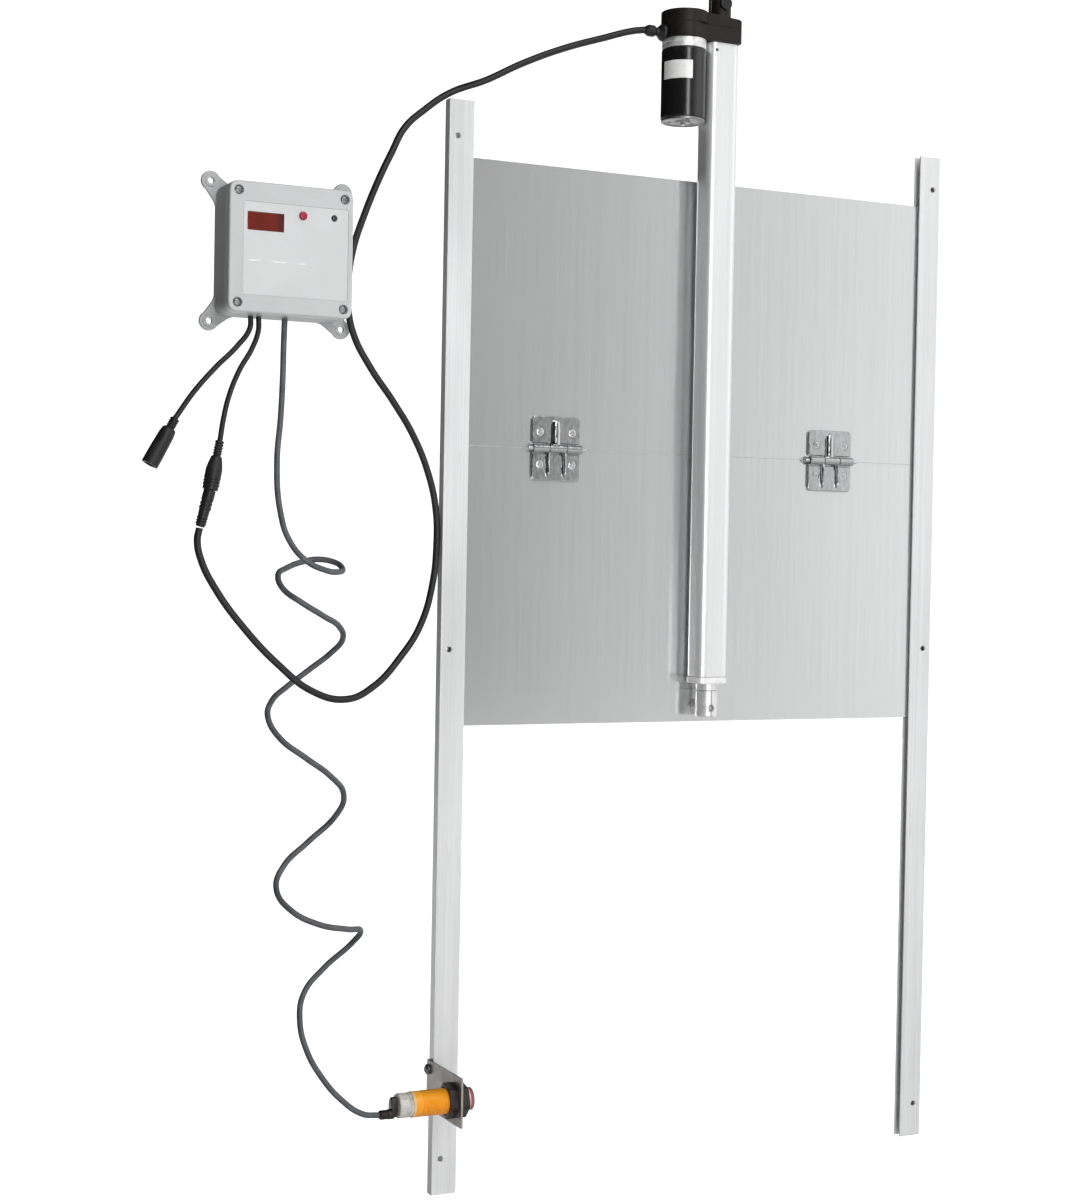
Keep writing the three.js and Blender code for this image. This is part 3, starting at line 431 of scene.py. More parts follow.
# ---------------------------------------------------------------- shapes
def soften(points, radius, closed=True, steps=4):
    """Rounds the corners of an outline or profile. A third number in a point is its own radius."""
    count = len(points)
    rounded = []
    for i, point in enumerate(points):
        here = Vector(point[:2])
        own = point[2] if len(point) > 2 else radius
        if own <= 0.0 or (not closed and i in (0, count - 1)):
            rounded.append(tuple(here))
            continue
        back = Vector(points[i - 1][:2]) - here
        on = Vector(points[(i + 1) % count][:2]) - here
        turn = back.angle(on)
        if turn > math.pi - 0.02:
            rounded.append(tuple(here))
            continue
        reach = min(own / math.tan(turn / 2), 0.48 * back.length, 0.48 * on.length)
        start = here + back.normalized() * reach
        end = here + on.normalized() * reach
        for step in range(steps + 1):
            t = step / steps
            at = start * (1 - t) ** 2 + here * 2 * t * (1 - t) + end * t ** 2
            rounded.append(tuple(at))
    return rounded


def arc(centre, radius, start, end, steps=16):
    """Points on a circle, angles in degrees."""
    angles = [math.radians(start + (end - start) * i / steps) for i in range(steps + 1)]
    return [(centre[0] + radius * math.cos(a), centre[1] + radius * math.sin(a)) for a in angles]


def disc(centre, radius, steps=32):
    return arc(centre, radius, 0.0, 360.0, steps)[:-1]


def rectangle(left, right, low, high):
    return [(left, low), (right, low), (right, high), (left, high)]


def finish_mesh(name, mesh, material, sharp=32.0):
    mesh.name = name
    mesh.materials.clear()
    mesh.materials.append(material)
    for face in mesh.polygons:
        face.material_index = 0
        face.use_smooth = True
    mesh.set_sharp_from_angle(angle=math.radians(sharp))
    made = bpy.data.objects.new(name, mesh)
    bpy.context.scene.collection.objects.link(made)
    made.modifiers.new("shading", "WEIGHTED_NORMAL").keep_sharp = True
    return made


def mesh_piece(name, bm, material, sharp=32.0):
    bmesh.ops.remove_doubles(bm, verts=bm.verts, dist=1e-6)
    bmesh.ops.recalc_face_normals(bm, faces=bm.faces)
    mesh = bpy.data.meshes.new(name)
    bm.to_mesh(mesh)
    bm.free()
    return finish_mesh(name, mesh, material, sharp)


# How a plate's own two axes and its thickness lie in the row frame.
FACING = {
    "up": Matrix(((1, 0, 0, 0), (0, 1, 0, 0), (0, 0, 1, 0), (0, 0, 0, 1))),
    "front": Matrix(((1, 0, 0, 0), (0, 0, -1, 0), (0, 1, 0, 0), (0, 0, 0, 1))),
    "right": Matrix(((0, 0, 1, 0), (1, 0, 0, 0), (0, 1, 0, 0), (0, 0, 0, 1))),
}


def plate(name, loops, low, high, edge, facing, material, at=(0.0, 0.0, 0.0)):
    """A solid with rounded edges from an outline and its holes, thick from low to high."""
    curve = bpy.data.curves.new(name, "CURVE")
    curve.dimensions = "2D"
    curve.fill_mode = "BOTH"
    for loop in loops:
        spline = curve.splines.new("POLY")
        spline.points.add(len(loop) - 1)
        for point, (u, v) in zip(spline.points, loop):
            point.co = (u, v, 0.0, 1.0)
        spline.use_cyclic_u = True
    curve.extrude = (high - low) / 2 - edge
    curve.bevel_depth = edge
    curve.bevel_resolution = 2
    curve.offset = -edge
    holder = bpy.data.objects.new(name, curve)
    bpy.context.scene.collection.objects.link(holder)
    bpy.context.view_layer.update()
    shape = holder.evaluated_get(bpy.context.evaluated_depsgraph_get())
    mesh = bpy.data.meshes.new_from_object(shape)
    bpy.data.objects.remove(holder)
    bm = bmesh.new()
    bm.from_mesh(mesh)
    bpy.data.meshes.remove(mesh)
    bm.transform(Matrix.Translation(at) @ FACING[facing] @ Matrix.Translation((0, 0, (low + high) / 2)))
    return mesh_piece(name, bm, material)


AXES = {"x": (1, 0, 0), "y": (0, 1, 0), "z": (0, 0, 1), "-x": (-1, 0, 0), "-y": (0, -1, 0),
        "-z": (0, 0, -1)}


def surface_rings(bm, rings, closed):
    pairs = list(zip(rings, rings[1:]))
    if closed:
        pairs.append((rings[-1], rings[0]))
    for low, high in pairs:
        count = max(len(low), len(high))
        for k in range(count):
            corners = [low[k % len(low)], low[(k + 1) % len(low)]]
            corners += [high[(k + 1) % len(high)], high[k % len(high)]]
            distinct = list(dict.fromkeys(corners))
            if len(distinct) > 2:
                bm.faces.new(distinct)


def lathe(name, profile, at, axis, material, sides=48, closed=False, sharp=32.0):
    """A turned piece from (radius, distance along the axis) points."""
    direction = Vector(AXES[axis] if isinstance(axis, str) else axis)
    turn = Vector((0, 0, 1)).rotation_difference(direction).to_matrix().to_4x4()
    place = Matrix.Translation(at) @ turn
    bm = bmesh.new()
    rings = []
    for radius, along in profile:
        if radius < 1e-7:
            rings.append([bm.verts.new(place @ Vector((0, 0, along)))])
            continue
        angles = [2 * math.pi * k / sides for k in range(sides)]
        ring = [(radius * math.cos(a), radius * math.sin(a), along) for a in angles]
        rings.append([bm.verts.new(place @ Vector(p)) for p in ring])
    surface_rings(bm, rings, closed)
    return mesh_piece(name, bm, material, sharp)


def carve(piece, *tools, operation="DIFFERENCE"):
    """Cuts the tools out of a piece, or joins them to it, and removes them."""
    for shape in (piece, *tools):
        shape.modifiers.clear()
    for tool in tools:
        step = piece.modifiers.new("step", "BOOLEAN")
        step.object = tool
        step.operation = operation
        step.solver = "EXACT"
    bpy.context.view_layer.update()
    shape = piece.evaluated_get(bpy.context.evaluated_depsgraph_get())
    mesh = bpy.data.meshes.new_from_object(shape)
    piece.modifiers.clear()
    material = piece.data.materials[0]
    name = piece.name
    for old in (piece, *tools):
        bpy.data.objects.remove(old)
    bm = bmesh.new()
    bm.from_mesh(mesh)
    bpy.data.meshes.remove(mesh)
    bmesh.ops.remove_doubles(bm, verts=bm.verts, dist=2e-6)
    bmesh.ops.dissolve_degenerate(bm, edges=bm.edges, dist=2e-6)
    return mesh_piece(name, bm, material)


def drill(radius, at, axis, low, high, sides=32):
    return lathe("tool", [(0.0, low), (radius, low), (radius, high), (0.0, high)], at, axis, MAT["steel"],
                 sides)


def slab(left, right, back, front, low, high, name="tool"):
    bm = bmesh.new()
    bmesh.ops.create_cube(bm, size=1.0)
    size = Vector((right - left, front - back, high - low))
    centre = Vector((right + left, front + back, high + low)) / 2
    bmesh.ops.transform(bm, verts=bm.verts,
                        matrix=Matrix.Translation(centre) @ Matrix.Diagonal((*size, 1.0)))
    return mesh_piece(name, bm, MAT["steel"])


def place(piece, body, slot, *nodes):
    """The piece moves with a body and stands for these CAD nodes, which are hidden. The slot is not used."""
    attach(piece, body)
    if nodes:
        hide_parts(*nodes)
    return piece


def dress(node, material, edge=0.25 * MM):
    """Gives a CAD node that stays its material and a rounding of its edges."""
    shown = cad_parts[node]
    shown.data.materials.clear()
    shown.data.materials.append(MAT[material])
    weld = shown.modifiers.new("weld", "WELD")
    weld.merge_threshold = 1e-6
    flat = shown.modifiers.new("flat", "DECIMATE")
    flat.decimate_type = "DISSOLVE"
    flat.angle_limit = math.radians(1.0)
    bevel = shown.modifiers.new("edges", "BEVEL")
    bevel.width = edge
    bevel.segments = 2
    bevel.limit_method = "ANGLE"
    bevel.angle_limit = math.radians(40.0)
    shown.modifiers.new("shading", "WEIGHTED_NORMAL").keep_sharp = True


# ---------------------------------------------------------------- cords
MOTOR_CABLE_DIAMETER = 4.8 * MM
LEAD_DIAMETER = 3.6 * MM
SENSOR_CABLE_DIAMETER = 4.0 * MM
MOTOR_CABLE_ROUTE = [
    (-0.062, -0.019, 0.8247), (-0.071, -0.019, 0.8228), (-0.0945, -0.0195, 0.8148),
    (-0.127, -0.02, 0.803), (-0.158, -0.019, 0.789), (-0.183, -0.0144, 0.7756),
    (-0.206, -0.006, 0.766), (-0.225, -0.005, 0.752), (-0.24, -0.008, 0.738),
    (-0.251, -0.012, 0.719), (-0.261, -0.014, 0.699), (-0.27, -0.012, 0.675),
    (-0.2765, -0.01, 0.653), (-0.2795, -0.009, 0.631), (-0.2795, -0.009, 0.614),
    (-0.275, -0.0095, 0.594), (-0.263, -0.01, 0.573), (-0.245, -0.009, 0.55),
    (-0.23, -0.007, 0.529), (-0.218, -0.006, 0.504), (-0.2106, -0.004, 0.478),
    (-0.2096, -0.004, 0.453), (-0.213, -0.006, 0.426), (-0.223, -0.01, 0.398),
    (-0.24, -0.016, 0.376), (-0.262, -0.024, 0.357), (-0.285, -0.032, 0.349),
    (-0.31, -0.036, 0.355), (-0.334, -0.036, 0.373), (-0.356, -0.033, 0.396),
    (-0.374, -0.028, 0.421), (-0.383, -0.024, 0.44), (-0.3853, -0.0223, 0.453),
    (-0.3839, -0.022, 0.4609),
]
POWER_LEAD_ROUTE = [
    (-0.35, -0.017, 0.601), (-0.3505, -0.017, 0.593), (-0.359, -0.018, 0.581),
    (-0.374, -0.02, 0.566), (-0.389, -0.022, 0.549), (-0.401, -0.022, 0.5315),
]
ACTUATOR_LEAD_ROUTE = [
    (-0.3446, -0.017, 0.601), (-0.3446, -0.017, 0.592), (-0.349, -0.018, 0.58),
    (-0.358, -0.02, 0.565), (-0.365, -0.021, 0.548), (-0.369, -0.022, 0.532),
    (-0.371, -0.022, 0.5185),
]
SENSOR_CABLE_ROUTE = [
    (-0.3266, -0.017, 0.601), (-0.327, -0.017, 0.585), (-0.328, -0.019, 0.56),
    (-0.33, -0.022, 0.535), (-0.334, -0.028, 0.505), (-0.334, -0.037, 0.472),
    (-0.33, -0.044, 0.454), (-0.32, -0.049, 0.441), (-0.307, -0.05, 0.435), (-0.295, -0.043, 0.434),
    (-0.289, -0.033, 0.436), (-0.29, -0.022, 0.44), (-0.3, -0.015, 0.442), (-0.311, -0.014, 0.44),
    (-0.323, -0.019, 0.436), (-0.333, -0.031, 0.431), (-0.333, -0.043, 0.422),
    (-0.324, -0.052, 0.414), (-0.308, -0.051, 0.405), (-0.294, -0.042, 0.398),
    (-0.287, -0.03, 0.389), (-0.29, -0.018, 0.38), (-0.305, -0.012, 0.367), (-0.32, -0.015, 0.357),
    (-0.334, -0.025, 0.348), (-0.34, -0.036, 0.338), (-0.335, -0.047, 0.325),
    (-0.32, -0.053, 0.313), (-0.301, -0.049, 0.3), (-0.287, -0.037, 0.286), (-0.287, -0.022, 0.27),
    (-0.304, -0.015, 0.252), (-0.322, -0.02, 0.238), (-0.331, -0.032, 0.224),
    (-0.325, -0.045, 0.212), (-0.308, -0.052, 0.203), (-0.287, -0.048, 0.198),
    (-0.273, -0.036, 0.194), (-0.275, -0.023, 0.183), (-0.291, -0.016, 0.167),
    (-0.306, -0.018, 0.151), (-0.311, -0.025, 0.135), (-0.309, -0.033, 0.117), (-0.301, -0.04, 0.1),
    (-0.288, -0.045, 0.084), (-0.274, -0.048, 0.074), (-0.2626, -0.048, 0.072),
]
POWER_JACK_AXIS = ((-0.401, -0.022, 0.5312), (-0.4175, -0.022, 0.501))
SOCKET_AXIS = ((-0.3711, -0.022, 0.5182), (-0.3772, -0.022, 0.486))
PLUG_AXIS = ((-0.3773, -0.022, 0.4857), (-0.3835, -0.022, 0.4619))


def cord_piece(name, route, diameter, material, node, slot):
    """A cord on one smooth curve through its route."""
    curve = bpy.data.curves.new(name, "CURVE")
    curve.dimensions = "3D"
    curve.bevel_depth = diameter / 2
    curve.bevel_resolution = 5
    curve.resolution_u = 10
    curve.use_fill_caps = True
    spline = curve.splines.new("BEZIER")
    spline.bezier_points.add(len(route) - 1)
    for knot, at in zip(spline.bezier_points, route):
        knot.co = at
        knot.handle_left_type = "AUTO"
        knot.handle_right_type = "AUTO"
    curve.materials.append(MAT[material])
    made = bpy.data.objects.new(name, curve)
    bpy.context.scene.collection.objects.link(made)
    return place(made, "frame", slot, node)


def along_axis(line):
    start, end = (Vector(p) for p in line)
    return start, (end - start).normalized(), (end - start).length


def grooved(profile_radius, start, end, count, depth):
    """A run of shallow rings, for a plug's grip."""
    points = []
    pitch = (end - start) / count
    for k in range(count):
        at = start + k * pitch
        points += [(profile_radius, at), (profile_radius, at + 0.55 * pitch)]
        points += [(profile_radius - depth, at + 0.65 * pitch), (profile_radius - depth, at + 0.9 * pitch)]
    return points


def power_jack():
    start, axis, length = along_axis(POWER_JACK_AXIS)
    relief = grooved(3.1 * MM, 0.6 * MM, 6.6 * MM, 4, 0.5 * MM)
    barrel = [(4.5 * MM, 8.0 * MM), (5.2 * MM, 12.0 * MM), (5.6 * MM, length - 8 * MM), (5.6 * MM, length)]
    inside = [(3.2 * MM, length), (3.2 * MM, length - 9 * MM), (1.0 * MM, length - 9 * MM)]
    tip = [(1.0 * MM, length - 1.5 * MM), (0.6 * MM, length - 1 * MM), (0.0, length - 1 * MM)]
    outline = [(0.0, 0.0), (2.6 * MM, 0.0), *relief, (3.3 * MM, 7.0 * MM), *barrel, *inside, *tip]
    piece = lathe("power_jack_shell", soften(outline, 0.35 * MM, False, 3), start, axis, MAT["rubber"], 40)
    return place(piece, "frame", "cord_black", "power_jack")


def actuator_socket():
    start, axis, length = along_axis(SOCKET_AXIS)
    relief = grooved(2.9 * MM, 0.6 * MM, 10.0 * MM, 5, 0.5 * MM)
    barrel = [(3.6 * MM, 11 * MM), (4.6 * MM, 15 * MM), (5.4 * MM, 19 * MM), (5.4 * MM, 24 * MM)]
    grip = grooved(5.5 * MM, 24.5 * MM, length - 2 * MM, 3, 0.4 * MM)
    outline = [(0.0, 0.0), (2.3 * MM, 0.0), *relief, *barrel, *grip, (5.1 * MM, length - 1 * MM),
               (5.0 * MM, length)]
    outline.append((0.0, length))
    piece = lathe("actuator_socket_shell", soften(outline, 0.4 * MM, False, 3), start, axis,
                  MAT["rubber"], 40)
    return place(piece, "frame", "cord_black", "actuator_socket")


def motor_plug():
    start, axis, length = along_axis(PLUG_AXIS)
    outline = [(0.0, 0.0), (4.0 * MM, 0.0), (4.0 * MM, 5 * MM),
               *grooved(4.0 * MM, 5.5 * MM, 14 * MM, 3, 0.4 * MM)]
    outline += [(3.5 * MM, 15 * MM), (3.4 * MM, 18 * MM),
                *grooved(3.6 * MM, 18.5 * MM, length - 1 * MM, 3, 0.5 * MM)]
    outline += [(3.0 * MM, length - 0.4 * MM), (2.6 * MM, length), (0.0, length)]
    piece = lathe("motor_plug_shell", soften(outline, 0.3 * MM, False, 3), start, axis, MAT["rubber"], 40)
    return place(piece, "frame", "cord_black", "motor_plug")


# ---------------------------------------------------------------- rails
RAIL_WALL = 1.2 * MM
RAIL_HOLE_SHIFT = 2.8 * MM  # towards the outer edge
RAIL_HOLE_HEIGHTS = (0.025, 0.381, 0.737)


def rail(side, name):
    """An open channel with its screw holes, and the left one with a hole for the sensor bracket's bolt."""
    low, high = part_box(name)
    sign = 1.0 if side == "right" else -1.0
    outer = high.x if side == "right" else low.x
    inner = low.x if side == "right" else high.x
    front, wall = low.y, RAIL_WALL
    web = outer - sign * wall
    corners = [
        (outer, high.y, 0.6 * MM), (inner, high.y, 0.35 * MM), (inner, high.y - wall, 0.35 * MM),
        (web, high.y - wall, 0.4 * MM), (web, front + wall, 0.4 * MM), (inner, front + wall, 0.35 * MM),
        (inner, front, 0.35 * MM), (outer, front, 0.6 * MM),
    ]
    body = plate(name + "_channel", [soften(corners, 0.3 * MM)], low.z, high.z, 0.08 * MM, "up",
                 MAT["rail"])
    holes_x = (low.x + high.x) / 2 + sign * RAIL_HOLE_SHIFT
    tools = []
    for height in RAIL_HOLE_HEIGHTS:
        sink = [(0.0, -0.002), (1.9 * MM, -0.002), (1.9 * MM, 0.0075), (2.5 * MM, 0.0081),
                (2.5 * MM, 0.009), (0.0, 0.009)]
        tools.append(lathe("tool", sink, (holes_x, 0.0, height), "-y", MAT["rail"], 28))
    if side == "left":
        centre = middle("bracket_bolt")
        tools.append(drill(2.3 * MM, (outer - 0.001, centre.y, centre.z), "x", 0.0, 0.003, 24))
    return place(carve(body, *tools), "frame", "rail_aluminium", name)


# ---------------------------------------------------------------- panels
def panel_sheet(level):
    """Guillotined sheet with its edges eased. The two meet almost without a gap."""
    node = f"{level}_panel"
    low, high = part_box(node)
    seam = 0.06 * MM
    foot, head = (SEAM_HEIGHT + seam, high.z) if level == "upper" else (low.z, SEAM_HEIGHT - seam)
    loops = [soften(rectangle(low.x, high.x, foot, head), 0.8 * MM)]
    if level == "lower":
        loops.append(disc((ACTUATOR[0], PIVOT_HEIGHT), 2.2 * MM, 28))
    sheet = plate(node + "_sheet", loops, -high.y, -low.y, 0.15 * MM, "front", MAT["panel"])
    return place(sheet, "upper_door" if level == "upper" else "door", "panel_aluminium", node)


# ---------------------------------------------------------------- hinges
HINGE_SHEET = 2.0 * MM
HINGE_REACH = 23.0 * MM
HINGE_HALF = 19.0 * MM
KNUCKLE_RADIUS = 3.2 * MM
LEAF_BACK = KNUCKLE_RADIUS + 0.1 * MM  # behind the pin
LEAF_FRONT = LEAF_BACK - HINGE_SHEET
PIN_RADIUS = 1.5 * MM
KNUCKLE_HALF = 6.4 * MM  # of the upper leaf's one knuckle
KNUCKLE_GAP = 0.7 * MM
SCREW_ACROSS = 12.7 * MM
SCREW_UP = 11.5 * MM
UPPER_RIBS = ((-4.5 * MM, 3.5 * MM),)
LOWER_RIBS = ((-9.0 * MM, -4.6 * MM), (4.0 * MM, 8.0 * MM))


def rolled_knuckle(left, right, centre, up):
    """Sheet rolled round the pin: it comes down the leaf's back and round the front."""
    back = KNUCKLE_RADIUS
    thick = 1.3 * MM
    outside = [(back, 5.2 * MM)] + arc((0, 0), KNUCKLE_RADIUS, 0.0, -292.0, 30)
    inside = arc((0, 0), KNUCKLE_RADIUS - thick, -292.0, 0.0, 30) + [(back - thick, 5.2 * MM)]
    loop = [(y, z * up) for y, z in outside + inside]
    return plate("tool", [loop], left, right, 0.12 * MM, "right", MAT["chrome"], centre)


def pressed_rib(left, right, top, centre, up, taper):
    """A round-topped bead, dying away at its outer end. It narrows by the taper."""
    rise, sunk = 2.8 * MM, 0.17 * MM
    base = -HINGE_SHEET / 2 + 0.1 * MM
    steps_along, steps_across = 14, 12
    start = 2.7 * MM
    front = LEAF_FRONT
    across, half = (left + right) / 2, (right - left) / 2
    bm = bmesh.new()
    rings = []
    for i in range(steps_along + 1):
        t = i / steps_along
        end = math.sqrt(max(0.0, 1 - max(0.0, (t - 0.82) / 0.18) ** 2))
        width = half * (1 - taper * t) * (0.35 + 0.65 * end)
        ring = []
        for k in range(steps_across + 1):
            a = math.pi * k / steps_across
            lift = (rise + sunk) * math.sin(a) * max(end, 0.02)
            ring.append((across + width * math.cos(a), front + sunk - lift))
        ring.append((across - width, front - base))
        ring.append((across + width, front - base))
        z = (start + (top - start) * t) * up
        rings.append([bm.verts.new(Vector(centre) + Vector((x, y, z))) for x, y in ring])
    surface_rings(bm, rings, False)
    bm.faces.new(rings[0])
    bm.faces.new(rings[-1])
    return mesh_piece("tool", bm, MAT["chrome"])


def hinge_leaf(side, level):
    node = f"{side}_hinge_{level}_leaf"
    up = 1.0 if level == "upper" else -1.0
    centre = middle(f"{side}_hinge_pin")
    near, far = 3.75 * MM, HINGE_REACH
    corners = [
        (-HINGE_HALF, near, 0.9 * MM), (HINGE_HALF, near, 0.9 * MM), (HINGE_HALF, far, 3.6 * MM),
        (-HINGE_HALF, far, 3.6 * MM),
    ]
    outline = [(x, z * up) for x, z in soften(corners, 1.0 * MM, steps=6)]
    leaf = plate(node + "_pressing", [outline], -LEAF_BACK, -LEAF_FRONT, 0.6 * MM, "front", MAT["chrome"],
                 centre)
    if level == "upper":
        spans, ribs, taper = [(-KNUCKLE_HALF, KNUCKLE_HALF)], UPPER_RIBS, 0.0
    else:
        beside = KNUCKLE_HALF + KNUCKLE_GAP
        spans, ribs, taper = [(-HINGE_HALF, -beside), (beside, HINGE_HALF)], LOWER_RIBS, 0.45
    parts = [rolled_knuckle(left, right, centre, up) for left, right in spans]
    parts += [pressed_rib(left, right, HINGE_REACH - 2.5 * MM, centre, up, taper) for left, right in ribs]
    for part in parts:
        leaf = carve(leaf, part, operation="UNION")
    tools = []
    for across in (-SCREW_ACROSS, SCREW_ACROSS):
        at = centre + Vector((across, 0.0, SCREW_UP * up))
        sink = [(0.0, -0.006), (1.7 * MM, -0.006), (1.7 * MM, -2.7 * MM), (3.3 * MM, -1.1 * MM),
                (3.3 * MM, 0.0), (0.0, 0.0)]
        tools.append(lathe("tool", sink, at, "-y", MAT["chrome"], 28))
    body = "upper_door" if level == "upper" else "door"
    return place(carve(leaf, *tools), body, "hinge_chrome", node)


def cross_recess(at, axis, reach, width, depth):
    """Two crossed slots for a screw's driver recess, cut down from its head."""
    tools = []
    for turn in (45.0, 135.0):
        bm = bmesh.new()
        bmesh.ops.create_cube(bm, size=1.0)
        size = Matrix.Diagonal((2 * reach, width, 2 * depth, 1.0))
        aim = Vector((0, 0, 1)).rotation_difference(Vector(AXES[axis])).to_matrix().to_4x4()
        spin = Matrix.Rotation(math.radians(turn), 4, "Z")
        bmesh.ops.transform(bm, verts=bm.verts, matrix=Matrix.Translation(at) @ aim @ spin @ size)
        tools.append(mesh_piece("tool", bm, MAT["steel"]))
    return tools


def hinge_screw(name, at, body):
    """Countersunk screw, its head just below the leaf's face and its shank in the panel."""
    head, dome = 3.0 * MM, 0.2 * MM
    profile = [(0.0, dome), (0.6 * head, 0.8 * dome), (head, 0.0), (1.5 * MM, -1.6 * MM),
               (1.5 * MM, -4.4 * MM), (0.0, -4.4 * MM)]
    screw = lathe(name, soften(profile, 0.2 * MM, False, 3), at, "-y", MAT["screw"], 32)
    face = Vector(at) + Vector((0.0, -dome, 0.0))
    return place(carve(screw, *cross_recess(face, "-y", 1.7 * MM, 0.7 * MM, 0.9 * MM)), body, "steel")


def hinge(side):
    for level in ("upper", "lower"):
        hinge_leaf(side, level)
    low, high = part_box(f"{side}_hinge_pin")
    centre = (low + high) / 2
    half = (high.x - low.x) / 2
    profile = [(0.0, -half), (PIN_RADIUS, -half), (PIN_RADIUS, half), (0.0, half)]
    pin = lathe(f"{side}_hinge_pin_turned", soften(profile, 0.5 * MM, False), centre, "x", MAT["bright"],
                24)
    place(pin, "door", "bright_steel", f"{side}_hinge_pin")
    number = 0
    for up, body in ((1.0, "upper_door"), (-1.0, "door")):
        for across in (-SCREW_ACROSS, SCREW_ACROSS):
            number += 1
            face = centre + Vector((across, LEAF_FRONT + 0.15 * MM, SCREW_UP * up))
            hinge_screw(f"{side}_hinge_screw_{number}", face, body)


# ---------------------------------------------------------------- actuator
TUBE_WALL = 1.8 * MM
TUBE_CORNER = 6.2 * MM
ROD_RADIUS = 7.8 * MM
MOTOR_RADIUS = 16.2 * MM
MOTOR_AT = (MOTOR_X, ACTUATOR[1], 0.0)
PIVOT_AT = (*ACTUATOR, PIVOT_HEIGHT)
VENT_TURNS = (20.0, 140.0, 260.0)  # degrees about the motor's axis


def actuator_tube():
    low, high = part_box("actuator_tube")
    outside = soften(rectangle(low.x, high.x, low.y, high.y), TUBE_CORNER, steps=12)
    inner = rectangle(low.x + TUBE_WALL, high.x - TUBE_WALL, low.y + TUBE_WALL, high.y - TUBE_WALL)
    tube = plate("actuator_tube_drawn", [outside, soften(inner, 3.6 * MM, steps=6)], low.z, high.z,
                 0.15 * MM, "up", MAT["tube"])
    hole = [(0.0, -0.004), (1.1 * MM, -0.004), (1.1 * MM, 0.0), (1.9 * MM, 0.0009), (1.9 * MM, 0.003),
            (0.0, 0.003)]
    at = (low.x + 5.2 * MM, low.y + 0.3 * MM, high.z - 5.6 * MM)
    return place(carve(tube, lathe("tool", hole, at, "-y", MAT["tube"], 24)), "frame", "tube_aluminium",
                 "actuator_tube")


def tube_end_cap():
    low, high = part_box("tube_end_cap")
    outline = soften(rectangle(low.x, high.x, low.y, high.y), 5.6 * MM, steps=10)
    bore = disc(ACTUATOR, 8.1 * MM, 48)
    cap = plate("tube_end_plate", [outline, bore], low.z, high.z, 0.5 * MM, "up", MAT["cap"])
    return place(cap, "frame", "bright_steel", "tube_end_cap")


def rod():
    low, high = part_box("rod")
    r, bore, floor = ROD_RADIUS, 5.0 * MM, 0.385
    profile = [(0.0, low.z), (r, low.z), (r, high.z), (bore, high.z), (bore, floor), (0.0, floor - 2 * MM)]
    piece = lathe("rod_turned", soften(profile, 0.5 * MM, False), (*ACTUATOR, 0.0), "z", MAT["satin"], 56)
    return place(piece, "door", "bright_steel", "rod")


def rod_end():
    low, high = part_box("rod_end")
    r = ROD_RADIUS
    profile = [(0.0, low.z), (r, low.z, 1.2 * MM), (r, high.z, 0.5 * MM), (0.0, high.z)]
    piece = lathe("rod_end_turned", soften(profile, 0.5 * MM, False), (*ACTUATOR, 0.0), "z", MAT["satin"],
                  56)
    x, y = ACTUATOR
    slot = slab(x - 0.35 * MM, x + 0.35 * MM, y - 9 * MM, y - 6.2 * MM, low.z - 1 * MM, high.z + 1 * MM)
    hole = [(0.0, -0.012), (2.3 * MM, -0.012), (2.3 * MM, 6.9 * MM), (2.9 * MM, 7.8 * MM),
            (2.9 * MM, 9 * MM), (0.0, 9 * MM)]
    piece = carve(piece, slot, lathe("tool", hole, (x, y, PIVOT_HEIGHT), "-y", MAT["chrome"], 32))
    return place(piece, "door", "hinge_chrome", "rod_end")


def housing_outline(inset):
    """Round about the motor, square with rounded corners about the screw."""
    x, y = ACTUATOR
    half = 12.2 * MM - inset
    end = x + 12.8 * MM - inset
    corner = 3.2 * MM - inset / 2
    tail = soften([(x - 17 * MM, y - half), (end, y - half, corner), (end, y + half, corner),
                   (x - 17 * MM, y + half)],
                  6 * MM, False, 6)
    return arc((MOTOR_X, y), 17 * MM - inset, 90.0, 270.0, 32) + tail


def gear_housing():
    low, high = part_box("gear_housing")
    shell = plate("gear_housing_moulding", [housing_outline(0.0)], low.z, high.z, 0.25 * MM, "up",
                  MAT["housing"])
    floor = low.z + 2 * MM
    hollow = plate("tool", [housing_outline(2 * MM)], floor, high.z + 4 * MM, 0.05 * MM, "up",
                   MAT["housing"])
    screw = drill(4.3 * MM, (*ACTUATOR, 0.0), "z", low.z - 1 * MM, floor + 1 * MM)
    shaft = drill(3.5 * MM, (MOTOR_X, ACTUATOR[1], 0.0), "z", low.z - 1 * MM, floor + 1 * MM)
    return place(carve(shell, hollow, screw, shaft), "frame", "housing_plastic", "gear_housing")


